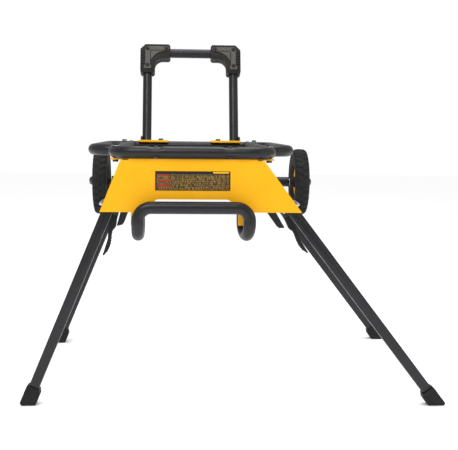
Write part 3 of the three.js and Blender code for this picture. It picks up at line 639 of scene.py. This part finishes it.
# ---- measures taken from the CAD boxes
FRONT_LOW, FRONT_HIGH, FRONT_MID = corners("front_frame_tube")
REAR_LOW, REAR_HIGH, _ = corners("rear_frame_tube")
TUBE_R = (FRONT_HIGH.z - FRONT_LOW.z) / 2
MID_X = FRONT_MID.x
FRAME_Z = FRONT_MID.z
NEAR_Y = FRONT_LOW.y + TUBE_R
FAR_Y = REAR_HIGH.y - TUBE_R
NARROW = (FRONT_HIGH.x - FRONT_LOW.x) / 2 - TUBE_R
WIDE = (REAR_HIGH.x - REAR_LOW.x) / 2 - TUBE_R
WIDE_Y = REAR_LOW.y + TUBE_R


def smooth_step(value, low, high):
    t = min(1.0, max(0.0, (value - low) / (high - low)))
    return t * t * (3 - 2 * t)


def saddle_curve(arm_point, arm_axis, tube_axis, radius, count=64):
    """Where a round tube, running along tube_axis away from an arm, meets the arm's skin."""
    up = tube_axis.cross(arm_axis).normalized()
    loop = []
    for k in range(count):
        a = 2 * math.pi * k / count
        side, rise = radius * math.cos(a), radius * math.sin(a)
        out = math.sqrt(max(TUBE_R ** 2 - rise ** 2, 0.0))
        loop.append(arm_point + arm_axis * side + up * rise + tube_axis * out)
    return loop


def coped(obj, arm_point, arm_axis, tube_axis, reach):
    """Lengthens a tube's end so that it fits round the arm it is welded to."""
    up = tube_axis.cross(arm_axis).normalized()
    for vert in obj.data.vertices:
        rel = vert.co - arm_point
        along = rel.dot(tube_axis)
        if abs(along - reach) < END_TOLERANCE and abs(rel.dot(arm_axis)) < END_REACH:
            rise = min(abs(rel.dot(up)), TUBE_R)
            vert.co -= tube_axis * (along - math.sqrt(TUBE_R ** 2 - rise ** 2))


# ---- tube frame
FRAME_BEND = 0.052
FINE_STEP = 0.004  # spacing of the rings along the pinched near bar
STUB_GAP = 0.0003
END_TOLERANCE, END_REACH = 1e-4, 0.02
BEAD_ON_SKIN, FRAME_BEAD = 0.985, 0.0021
BEAD_ANGLE = 60
NEAR_BAR_BOLT_X = 0.084
PINCH_DEPTH, PINCH_INNER, PINCH_OUTER = 0.2, 0.007, 0.019
NEAR_BAR_HEX, NEAR_BAR_HEAD, HEAD_SINK = 0.0095, 0.0036, 0.0003


def near_bar_shape(point, out):
    """The near bar is pinched flat where its two small bolts go through."""
    if abs(point.y - NEAR_Y) > 2 * TUBE_R:
        return point
    nearest = abs(abs(point.x - MID_X) - NEAR_BAR_BOLT_X)
    pinch = PINCH_DEPTH * (1 - smooth_step(nearest, PINCH_INNER, PINCH_OUTER))
    return point - Vector((0, 0, out.z * TUBE_R * pinch))


def tube_frame():
    """The narrow front U and the wide rear C, each end fitted round and welded to the other."""
    arm_end = FRONT_HIGH.y
    path = [(MID_X + NARROW, arm_end, FRAME_Z), (MID_X + NARROW, NEAR_Y, FRAME_Z),
            (MID_X - NARROW, NEAR_Y, FRAME_Z), (MID_X - NARROW, arm_end, FRAME_Z)]
    narrow = tube("front_frame_tube_skin", path, TUBE_R, FRAME_BEND, straight=FINE_STEP, shape=near_bar_shape)
    for s in (-1, 1):
        coped(narrow, Vector((MID_X + s * NARROW, FAR_Y, FRAME_Z)), X, -Y, FAR_Y - arm_end)
    finished(narrow, "black_steel", "frame")
    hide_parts("front_frame_tube")

    stub = NARROW + TUBE_R + STUB_GAP
    path = [(MID_X + stub, WIDE_Y, FRAME_Z), (MID_X + WIDE, WIDE_Y, FRAME_Z), (MID_X + WIDE, FAR_Y, FRAME_Z),
            (MID_X - WIDE, FAR_Y, FRAME_Z), (MID_X - WIDE, WIDE_Y, FRAME_Z), (MID_X - stub, WIDE_Y, FRAME_Z)]
    wide = tube("rear_frame_tube_skin", path, TUBE_R, FRAME_BEND)
    for s in (-1, 1):
        coped(wide, Vector((MID_X + s * NARROW, WIDE_Y, FRAME_Z)), Y, X * s, stub - NARROW)
    finished(wide, "black_steel", "frame")
    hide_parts("rear_frame_tube")

    beads = []
    for s in (-1, 1):
        for y, arm, run in ((FAR_Y, X, -Y), (WIDE_Y, Y, X * s)):
            place = Vector((MID_X + s * NARROW, y, FRAME_Z))
            line = saddle_curve(place, arm, run, TUBE_R * BEAD_ON_SKIN)
            beads.append(bead("bead", line, FRAME_BEAD))
    finished(joined("frame_weld_beads", beads), "weld", "frame", BEAD_ANGLE)

    flat = TUBE_R * (1 - PINCH_DEPTH) - HEAD_SINK
    for side in SIDES:
        middle = Vector((MID_X + SIGN[side] * NEAR_BAR_BOLT_X, NEAR_Y, FRAME_Z))
        for kind, axis in (("bolt", Z), ("nut", -Z)):
            seat = middle + axis * flat
            hex_head(f"{side}_near_bar_{kind}", seat, axis, NEAR_BAR_HEX, NEAR_BAR_HEAD, "dark_zinc")


# ---- sheets, brackets, plates
# Edge rounding of copied CAD pieces: width, steps.
APRON_EDGE, LEG_PLATE_EDGE, BRACKET_EDGE, SADDLE_EDGE = (0.0008, 3), (0.0006, 2), (0.0009, 2), (0.0011, 3)
SADDLE_BOLT_X, SADDLE_HEX, SADDLE_HEAD, SADDLE_NUT = 0.089, 0.0128, 0.005, 0.0055
HALF_SHEET, TAB_DROP, TAB_STEPS = 0.00125, 0.0115, 12
TAB_BEAD, TAB_BEAD_OFF, TAB_BEAD_SINK = 0.0014, 0.0016, 0.0004


def sheets():
    for node in ("near_apron", "far_apron"):
        cad_copy(node, *APRON_EDGE)
    for node in ("near_outer_leg_plate", "near_inner_leg_plate", "far_inner_leg_plate"):
        cad_copy(node, *LEG_PLATE_EDGE)
    for side in SIDES:
        cad_copy(f"{side}_axle_bracket", *BRACKET_EDGE)
        cad_copy(f"{side}_saddle_plate", *SADDLE_EDGE)
        _, high, _ = corners(f"{side}_saddle_plate")
        bolt = Vector((MID_X + SIGN[side] * SADDLE_BOLT_X, FAR_Y, high.z))
        hex_head(f"{side}_saddle_bolt", bolt, Z, SADDLE_HEX, SADDLE_HEAD, "dark_zinc")
        nut = Vector((bolt.x, bolt.y, FRAME_Z - TUBE_R))
        hex_head(f"{side}_saddle_nut", nut, -Z, SADDLE_HEX, SADDLE_NUT, "zinc_steel")
        for end in ENDS:
            plate_bead(f"{end}_{side}", end, SIGN[side])


def plate_bead(label, end, sign):
    """Beads that hold the leg plates' tabs to the inner sides of the frame's arms."""
    nodes = ("near_outer_leg_plate", "near_inner_leg_plate") if end == "near" else ("far_inner_leg_plate",)
    for k, node in enumerate(nodes):
        low, high, _ = corners(node)
        flange_forward = node != "near_inner_leg_plate"
        sheet_y = high.y - HALF_SHEET if flange_forward else low.y + HALF_SHEET
        for face in (-1, 1):
            line = []
            for t in range(TAB_STEPS + 1):
                down = TAB_DROP * t / TAB_STEPS
                skin = NARROW - math.sqrt(TUBE_R ** 2 - down ** 2) - TAB_BEAD_SINK
                line.append(Vector((MID_X + sign * skin, sheet_y + face * TAB_BEAD_OFF, FRAME_Z - down)))
            name = f"{label}_tab_bead_{k}_{'front' if face < 0 else 'rear'}"
            rope = bead(name, line, TAB_BEAD, closed=False)
            finished(rope, "weld", "frame", BEAD_ANGLE)


# ---- bolts and pins
APRON_BOLT_EDGE, PIVOT_BOLT_EDGE, SMALL_BOLT_EDGE = (0.0006, 2), (0.0007, 2), (0.0005, 2)
APRON_WASHER = ring_profile(0.0042, 0.0096, 0.0013, 0.0004)
APRON_WASHER_SINK = 0.001


def bolts():
    for side in SIDES:
        for end in ENDS:
            cad_copy(f"{end}_{side}_apron_bolt", *APRON_BOLT_EDGE)
            _, _, mid = corners(f"{end}_{side}_apron_bolt")
            seat = Vector((mid.x, mid.y, FRAME_Z + TUBE_R - APRON_WASHER_SINK))
            finished(lathe(f"{end}_{side}_apron_washer", APRON_WASHER, seat, Z, 40), "zinc_steel", "frame")
            cad_copy(f"{end}_{side}_pivot_bolt", *PIVOT_BOLT_EDGE)
            stop_pin(f"{end}_{side}_stop_pin")
        for node in (f"{side}_grip_bolt", f"{side}_loop_bolt"):
            cad_copy(node, *SMALL_BOLT_EDGE)


def stop_pin(node):
    """A riveted pin: a round bar with a low domed head at each end."""
    low, high, mid = corners(node)
    r = (high.x - low.x) / 2
    half = (high.y - low.y) / 2
    profile = mirrored([(0.0, -half), (r * 0.6, -half), (r * 0.9, -half + 0.0006), (r, -half + 0.0014)])
    finished(lathe(f"{node}_turned", profile, mid, Y, 32), "zinc_steel", "frame")
    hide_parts(node)


# ---- pull grip
GRIP_BEND, GRIP_BAR_DROP, GRIP_STEP_IN = 0.02998, 0.037, 0.012
PLUG_CORE = TUBE_R - 0.0019
GRIP_PLUG_SINK = 0.0016
GRIP_PLUG = [(0.0, 0.0016), (TUBE_R * 0.75, 0.0014), (TUBE_R * 0.95, 0.0006), (TUBE_R, 0.0),
             (TUBE_R * 0.99, -0.0006), (PLUG_CORE, -0.0006), (PLUG_CORE, -0.009), (0.0, -0.009)]


def grip():
    """One tube: at each side it comes down, turns under and rises to the bar."""
    low, high, _ = corners("grip_tube")
    front, rear = low.y + TUBE_R, high.y - TUBE_R
    bottom, bar = low.z + TUBE_R, high.z - GRIP_BAR_DROP
    left, right = low.x + TUBE_R, high.x - TUBE_R
    runs = {"left": (left, left), "right": (right, right - GRIP_STEP_IN)}
    path = []
    for front_x, rear_x in runs.values():
        run = [(rear_x, rear, high.z), (rear_x, rear, bottom)]
        run += [(front_x, front, bottom), (front_x, front, bar)]
        path += run[::-1] if path else run
    skin = tube("grip_tube_skin", path, TUBE_R, GRIP_BEND, arc_steps=16, straight=0.01)
    finished(skin, "black_steel", "frame")
    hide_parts("grip_tube")
    for name, (_, rear_x) in runs.items():
        end = Vector((rear_x, rear, high.z - GRIP_PLUG_SINK))
        finished(lathe(f"{name}_grip_end_plug", GRIP_PLUG, end, Z, 40), "black_plastic", "frame")


# ---- legs, feet, levers
LEG_LEAN = {"left": 22.56, "right": 37.63}  # degrees from upright, legs open
LEG_EDGE, FOOT_EDGE, LEVER_EDGE, LEVER_PIN_EDGE = (0.0007, 2, 62.0), (0.0022, 3), (0.0022, 3), (0.0004, 2)
LEG_SHARP = 50
BAND_UP = (0.036, 0.029)  # above the foot's end, along the leg
BAND_HALF_WIDE, BAND_HALF_TALL, BAND_DEEP, BAND_EDGE, BAND_INWARD = 0.0185, 0.0011, 0.0301, 0.0008, 0.0015
LEVER_FACE = 0.0135  # from the leg's axis to where a lever's profile starts
RIDGES, RIDGE_FIRST, RIDGE_PITCH, RIDGE_SINK = 11, 0.036, 0.0064, 0.0004
RIDGE_OUT, RIDGE_ALONG, RIDGE_WIDE, RIDGE_EDGE = 0.0012, 0.0015, 0.015, 0.0004
LEVER_LINE = {  # outer edge of a lever: out from the face, down from the pin
    "near": [(0.0179, 0.029), (0.0196, 0.038), (0.016, 0.05), (0.018, 0.06), (0.0213, 0.07),
             (0.0236, 0.08), (0.0246, 0.09), (0.0238, 0.1), (0.0205, 0.111)],
    "far": [(0.024, 0.008), (0.03, 0.028), (0.0312, 0.07), (0.032, 0.094), (0.0295, 0.103)],
}


def legs():
    for end in ENDS:
        for side in SIDES:
            label = f"{end}_{side}"
            bar = cad_copy(f"{label}_leg", *LEG_EDGE)
            bar.data.set_sharp_from_angle(angle=math.radians(LEG_SHARP))
            cad_copy(f"{label}_foot", *FOOT_EDGE)
            cad_copy(f"{label}_lever", *LEVER_EDGE)
            cad_copy(f"{label}_lever_pin", *LEVER_PIN_EDGE)
            axes = leg_axes(label, side)
            foot_bands(label, *axes)
            lever_ridges(label, end, *axes)


def leg_axes(label, side):
    """A leg's pivot, its direction down to the foot, and the direction inward across it."""
    pivot = Vector(JOINTS[f"{label}_leg_fold"]["pos_m"])
    lean = math.radians(LEG_LEAN[side])
    down = Vector((SIGN[side] * math.sin(lean), 0, -math.cos(lean)))
    inward = Vector((-SIGN[side] * math.cos(lean), 0, -math.sin(lean)))
    return pivot, down, inward


def foot_bands(label, pivot, down, inward):
    """Two shallow moulded bands round the foot's sleeve."""
    low, _, _ = corners(f"{label}_foot")
    length = (pivot.z - low.z) / -down.z
    outline = box_outline(BAND_HALF_WIDE, BAND_HALF_TALL)
    parts = []
    for k, up in enumerate(BAND_UP):
        centre = pivot + down * (length - up) + inward * BAND_INWARD
        matrix = basis(inward, down, inward.cross(down), centre)
        parts.append(extruded(f"{label}_band_{k}", outline, BAND_DEEP, matrix, BAND_EDGE))
    finished(joined(f"{label}_foot_bands", parts), "black_plastic", f"{label}_leg_body")


def line_at(line, along):
    """How far out a lever's edge stands at a place along it."""
    for (out, start), (next_out, end) in zip(line, line[1:]):
        if start <= along <= end:
            found = out + (next_out - out) * (along - start) / (end - start)
    return found


def lever_ridges(label, end, pivot, down, inward):
    """Finger ridges along the outer edge of the release lever."""
    pin = Vector(JOINTS[f"{label}_lever_press"]["pos_m"])
    lever_top = pivot + down * (pin - pivot).dot(down)
    angles = [math.radians(a) for a in range(0, 360, 30)]
    ridge = [(RIDGE_OUT * math.cos(a), RIDGE_ALONG * math.sin(a)) for a in angles]
    parts = []
    for k in range(RIDGES):
        s = RIDGE_FIRST + RIDGE_PITCH * k
        out = LEVER_FACE + line_at(LEVER_LINE[end], s) - RIDGE_SINK
        matrix = basis(inward, down, inward.cross(down), lever_top + inward * out + down * s)
        parts.append(extruded(f"{label}_ridge_{k}", ridge, RIDGE_WIDE, matrix, RIDGE_EDGE))
    finished(joined(f"{label}_lever_ridges", parts), "black_plastic", f"{label}_lever_body")


# ---- wheels and axle
LUGS, STEPS_PER_LUG = 30, 10
LUG_DEEP, LUG_SLANT = 0.0036, 0.35
LUG_RISE, LUG_FALL, LUG_INNER = (0.02, 0.12), (0.56, 0.66), (0.06, 0.14)
RIB_WAVE, RIB_SIDE = 0.1, (0.1, 0.2)
TREAD_HALF, TREAD_CROWN, TREAD_ROWS = 0.9, 0.0058, 8  # half width as a part of the tyre's
# Side wall: below the tread, part of the half width, how much of the lugs it carries.
TYRE_WALL = [(0.012, 0.965, 0.35), (0.017, 0.985, 0.0), (0.023, 1.0, 0.0), (0.0245, 0.97, 0.0),
             (0.027, 0.97, 0.0), (0.029, 0.99, 0.0), (0.037, 0.95, 0.0), (0.0455, 0.82, 0.0),
             (0.0515, 0.6, 0.0), (0.0548, 0.36, 0.0), (0.0556, 0.3, 0.0)]
HUB_FACE = 0.007  # the rim's face lies this far inside the boss's end
# Hub disc from the boss to the rim: below the rim's radius, inside the rim's face.
HUB_RIM = [(0.0125, 0.0188), (0.0105, 0.0172), (0.0088, 0.0138), (0.0072, 0.0124), (0.0048, 0.0121),
           (0.0036, 0.0128), (0.0008, 0.0132), (0.0, 0.014)]
HUB_RIBS, HUB_RIB_TALL, HUB_RIB_EDGE, HUB_RIB_IN = 6, 0.0078, 0.0014, 0.0172
HUB_RIB_INNER, HUB_RIB_OUTER = (0.019, 0.0036), (0.0082, 0.0056)  # radius or below the rim, half width
HUB_ANGLE = 32
AXLE_WALL = 0.0022
SPACER_BORE, SPACER_RIM, SPACER_EDGE, SPACER_LAP = 0.0066, 0.0129, 0.0004, 0.0002
CAP_BORE = 0.0067


def lug(angle, across):
    """How far a point of the tread stands up, 0 to 1: two rows of slanted blocks and a middle rib."""
    side = 0.5 if across > 0 else 0.0
    phase = (angle * LUGS / (2 * math.pi) + side + abs(across) * LUG_SLANT) % 1.0
    block = smooth_step(phase, *LUG_RISE) * (1 - smooth_step(phase, *LUG_FALL))
    rib = 1 - smooth_step(abs(across + RIB_WAVE * math.sin(angle * LUGS)), *RIB_SIDE)
    return max(block * smooth_step(abs(across), *LUG_INNER), rib)


def tyre(side):
    """A moulded tyre: a lugged tread on rounded walls, swept round the axle."""
    low, high, mid = corners(f"{side}_tyre")
    out = (high.z - low.z) / 2
    half = (high.x - low.x) / 2
    tread_half = half * TREAD_HALF
    rows = [k / TREAD_ROWS for k in range(-TREAD_ROWS, TREAD_ROWS + 1)]
    tread = [(out - TREAD_CROWN * row ** 4, tread_half * row, 1.0) for row in rows]
    wall = [(out - below, half * wide, carried) for below, wide, carried in TYRE_WALL]
    section = [(r, -w, g) for r, w, g in reversed(wall)] + tread + wall
    steps = LUGS * STEPS_PER_LUG
    verts = []
    for k in range(steps):
        a = 2 * math.pi * k / steps
        for r, w, g in section:
            raised = lug(a, w / tread_half) if g else 1.0
            radius = r - LUG_DEEP * g * (1 - raised)
            verts.append(mid + X * w + (Y * math.cos(a) + Z * math.sin(a)) * radius)
    count = len(section)
    faces = []
    for k in range(steps):
        n = (k + 1) % steps
        for i in range(count):
            j = (i + 1) % count
            faces.append((k * count + i, k * count + j, n * count + j, n * count + i))
    obj = outward(new_object(f"{side}_tyre_moulded", verts, faces))
    finished(obj, "tyre_rubber", f"{side}_wheel", 40)
    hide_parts(f"{side}_tyre")


def hub(side):
    """A dark boss through a ribbed yellow disc."""
    low, high, mid = corners(f"{side}_wheel_hub")
    out = (high.z - low.z) / 2
    half = (high.x - low.x) / 2
    flat = half - HUB_FACE
    boss = [(0.00665, half - 0.0006), (0.0075, half), (0.0155, half), (0.017, half - 0.0015),
            (0.0178, flat - 0.004), (0.0186, flat - 0.0168)]
    sleeve = lathe(f"{side}_hub_boss", mirrored(boss), mid, X, 64)
    finished(sleeve, "black_plastic", f"{side}_wheel", HUB_ANGLE)
    section = [(0.0187, flat - 0.0172), (0.022, flat - 0.0188)]
    section += [(out - below, flat - inside) for below, inside in HUB_RIM]
    parts = [lathe(f"{side}_hub_disc", mirrored(section), mid, X, 96)]
    (inner, inner_half), (below, outer_half) = HUB_RIB_INNER, HUB_RIB_OUTER
    outer = out - below
    rib = [(inner, -inner_half), (outer, -outer_half), (outer, outer_half), (inner, inner_half)]
    for face in (-1, 1):
        for k in range(HUB_RIBS):
            a = math.radians(60 * k + (30 if face > 0 else 0))
            spoke = Y * math.cos(a) + Z * math.sin(a)
            centre = mid + X * face * (flat - HUB_RIB_IN)
            matrix = basis(spoke, (X * face).cross(spoke), X * face, centre)
            parts.append(extruded(f"{side}_rib_{k}", rib, HUB_RIB_TALL, matrix, HUB_RIB_EDGE))
    obj = joined(f"{side}_hub_moulded", parts)
    finished(obj, "yellow_plastic", f"{side}_wheel", HUB_ANGLE)
    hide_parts(f"{side}_wheel_hub")


def axle():
    """The tube across the stand, the rod through it, and at each end a spacer and a pressed cap."""
    tube_low, tube_high, mid = corners("axle_tube")
    radius = (tube_high.z - tube_low.z) / 2
    path = [(tube_low.x, mid.y, mid.z), (tube_high.x, mid.y, mid.z)]
    skin = tube("axle_tube_skin", path, radius, wall=AXLE_WALL, sides=48)
    finished(skin, "black_steel", "frame")
    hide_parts("axle_tube")
    low, high, mid = corners("axle_rod")
    r, half = (high.z - low.z) / 2, (high.x - low.x) / 2
    edge = 0.001
    bar = mirrored([(0.0, -half), (r - edge, -half), (r, -half + edge)])
    finished(lathe("axle_rod_turned", bar, mid, X, 40), "zinc_steel", "frame")
    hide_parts("axle_rod")
    for side in SIDES:
        sign = SIGN[side]
        low, high, mid = corners(f"{side}_axle_cap")
        r = (high.z - low.z) / 2
        inner = low.x if sign > 0 else high.x
        dome = [(CAP_BORE, 0.0004), (r - 0.0006, 0.0), (r, 0.0006), (r - 0.0004, 0.0016), (r * 0.86, 0.0052),
                (r * 0.72, 0.0074), (r * 0.5, 0.009), (r * 0.25, 0.0096), (0.0, 0.0096), (0.0, 0.0076),
                (CAP_BORE, 0.0076)]
        cap = lathe(f"{side}_axle_cap_pressed", dome, Vector((inner, mid.y, mid.z)), X * sign, 40)
        finished(cap, "dark_zinc", "frame")
        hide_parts(f"{side}_axle_cap")
        wheel_low, wheel_high, wheel_mid = corners(f"{side}_wheel_hub")
        face = wheel_high.x if sign < 0 else wheel_low.x
        tube_end = tube_low.x if sign < 0 else tube_high.x
        ring = ring_profile(SPACER_BORE, SPACER_RIM, abs(tube_end - face) - SPACER_EDGE, SPACER_EDGE)
        seat = Vector((face - sign * SPACER_LAP, wheel_mid.y, wheel_mid.z))
        spacer = lathe(f"{side}_axle_spacer", ring, seat, X * -sign, 40)
        finished(spacer, "zinc_steel", "frame")


# ---- upright loop
LEAN = math.radians(18.0)
LOOP_UP = Vector((0.0, math.sin(LEAN), math.cos(LEAN)))
LOOP_BACK = Vector((0.0, math.cos(LEAN), -math.sin(LEAN)))
LOOP_PLUG = [(0.0, 0.0022), (TUBE_R * 0.8, 0.0018), (TUBE_R, 0.0), (PLUG_CORE, -0.0002), (PLUG_CORE, -0.01),
             (0.0, -0.01)]
LOOP_PLUG_SINK = 0.0004
ELBOW_EDGE = (0.0013, 3)
# Outlines in the loop's plane: inward along the top tube, up along the side tube.
ELBOW_BAND = [(-0.012, -0.0605), (-0.012, -0.052), (-0.0072, -0.047), (-0.0072, 0.0085),
              (-0.0015, 0.0148), (0.0655, 0.0148), (0.068, 0.0125), (0.068, 0.0035),
              (0.0655, 0.0016), (0.014, 0.0016)]
ELBOW_BAND += arc(0.014, -0.004, 0.0056, 90, 180, 5)
ELBOW_BAND += [(0.0084, -0.046), (0.012, -0.052), (0.012, -0.0605)]
ELBOW_WEB = [(0.0148, 0.0002), (0.058, 0.0002)] + arc(0.058, -0.0505, 0.05, 92, 154, 12)
ELBOW_WEB += [(0.01, -0.0312), (0.01, -0.0046)] + arc(0.0148, -0.0046, 0.0048, 176, 94, 4)
ELBOW_PANELS = (("band", ELBOW_BAND, 0.0036), ("web", ELBOW_WEB, 0.0026))
PANEL_FOOT, PANEL_EDGE = 0.0198, 0.0009
# Two rows of ribs: half width and half height of each, and the row's fixed place.
RIBS, RIB_FIRST, RIB_PITCH, RIB_OUT, RIB_DEEP, RIB_EDGE = 7, 0.004, 0.0095, 0.0203, 0.0024, 0.0006
TOP_RIB, TOP_RIB_Y = (0.0014, 0.0013), 0.0212
SIDE_RIB, SIDE_RIB_X = (0.0062, 0.0013), -0.017
SCREWS, SCREW_OUT, SCREW_SINK = ((0.0006, 0.0066), (0.06, 0.0078), (0.0, -0.049)), 0.0234, 0.0006
SCREW_RADIUS, SCREW_HEAD = 0.0043, 0.0022
SCREW_COLLAR = [(0.0046, 0.0), (0.0062, 0.0), (0.0062, 0.0004), (0.0058, 0.0008), (0.005, 0.0008),
                (0.0046, 0.0004)]


def loop():
    """Two side tubes and a top tube, held by a moulded elbow at each corner."""
    top_low, top_high, top = corners("loop_top_tube")
    skin = tube("loop_top_tube_skin", [(top_low.x, top.y, top.z), (top_high.x, top.y, top.z)], TUBE_R)
    finished(skin, "black_steel", "frame")
    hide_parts("loop_top_tube")
    inset = Vector((0.0, math.cos(LEAN), math.sin(LEAN))) * TUBE_R
    for side in SIDES:
        low, high, mid = corners(f"{side}_loop_tube")
        foot = Vector((mid.x, low.y, low.z)) + inset
        head = Vector((mid.x, high.y, high.z)) - inset
        upright = tube(f"{side}_loop_tube_skin", [foot, head], TUBE_R)
        finished(upright, "black_steel", "frame")
        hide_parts(f"{side}_loop_tube")
        plug = lathe(f"{side}_loop_end_plug", LOOP_PLUG, foot + LOOP_UP * LOOP_PLUG_SINK, -LOOP_UP, 40)
        finished(plug, "black_plastic", "frame")
        for face, out in (("front", -1.0), ("rear", 1.0)):
            corner = Vector((mid.x, top.y, top.z))
            elbow(f"{side}_elbow_{face}", X * -SIGN[side], LOOP_BACK * out, corner)


def elbow(node, across, normal, corner):
    """Half of a clamped corner, with a raised L panel, ribs and screws on its face."""
    cad_copy(node, *ELBOW_EDGE)

    def raised(offset):
        return basis(across, LOOP_UP, across.cross(LOOP_UP), corner + normal * offset)

    for piece, outline, height in ELBOW_PANELS:
        panel = extruded(f"{node}_{piece}", outline, height, raised(PANEL_FOOT + height / 2), PANEL_EDGE, 3)
        finished(panel, "elbow_face", "frame")
    ribs = []
    for k in range(RIBS):
        at = RIB_FIRST + RIB_PITCH * k
        for outline in (box_outline(*TOP_RIB, at, TOP_RIB_Y), box_outline(*SIDE_RIB, SIDE_RIB_X, -at)):
            ribs.append(extruded(f"{node}_rib_{k}", outline, RIB_DEEP, raised(RIB_OUT), RIB_EDGE))
    finished(joined(f"{node}_ribs", ribs), "black_plastic", "frame")
    for k, (x, y) in enumerate(SCREWS):
        seat = corner + across * x + LOOP_UP * y + normal * SCREW_OUT
        finished(lathe(f"{node}_seat_{k}", SCREW_COLLAR, seat, normal, 28), "black_plastic", "frame")
        dome_head(f"{node}_screw_{k}", seat - normal * SCREW_SINK, normal, SCREW_RADIUS, SCREW_HEAD)


# ---- rating plate
PLATE_EDGE = (0.0003, 2)
BLOCK_INSET, BLOCK_FRONT, BLOCK_BACK, RED_LIFT = 0.0006, 0.00012, 0.0004, 0.0001
BLOCK_THICK, BLOCK_EDGE = 0.0005, 0.0001
PLATE_BLOCKS = (  # name, from and to across the plate, from and to up it, material
    ("header", 0.0, 0.755, 0.875, 1.0, "print_dark"),
    ("yellow_band", 0.765, 0.985, 0.885, 0.985, "print_yellow"),
    ("body", 0.012, 0.988, 0.03, 0.865, "print_brown"),
    ("red_top", 0.02, 0.19, 0.71, 0.84, "print_red"),
    ("red_middle", 0.02, 0.215, 0.45, 0.58, "print_red"),
    ("red_low", 0.02, 0.2, 0.16, 0.33, "print_red"),
)


def rating_plate():
    """A blank printed plate: bands and blocks of colour and no lettering."""
    low, high, _ = corners("rating_plate")
    cad_copy("rating_plate", *PLATE_EDGE)
    wide, tall = high.x - low.x, high.z - low.z
    inset = Vector((BLOCK_INSET, 0.0, BLOCK_INSET))
    for name, x0, x1, z0, z1, material in PLATE_BLOCKS:
        box_low = Vector((low.x + wide * x0, low.y - BLOCK_FRONT, low.z + tall * z0)) + inset
        box_high = Vector((low.x + wide * x1, low.y + BLOCK_BACK, low.z + tall * z1)) - inset
        lift = RED_LIFT if name.startswith("red") else 0.0
        centre = (box_low + box_high) / 2 - Y * lift
        outline = box_outline((box_high.x - box_low.x) / 2, (box_high.z - box_low.z) / 2)
        matrix = basis(X, Z, X.cross(Z), centre)
        piece = extruded(f"plate_{name}", outline, BLOCK_THICK, matrix, BLOCK_EDGE, 1)
        finished(piece, material, "frame")


tube_frame()
sheets()
bolts()
grip()
legs()
for wheel_side in SIDES:
    tyre(wheel_side)
    hub(wheel_side)
axle()
loop()
rating_plate()
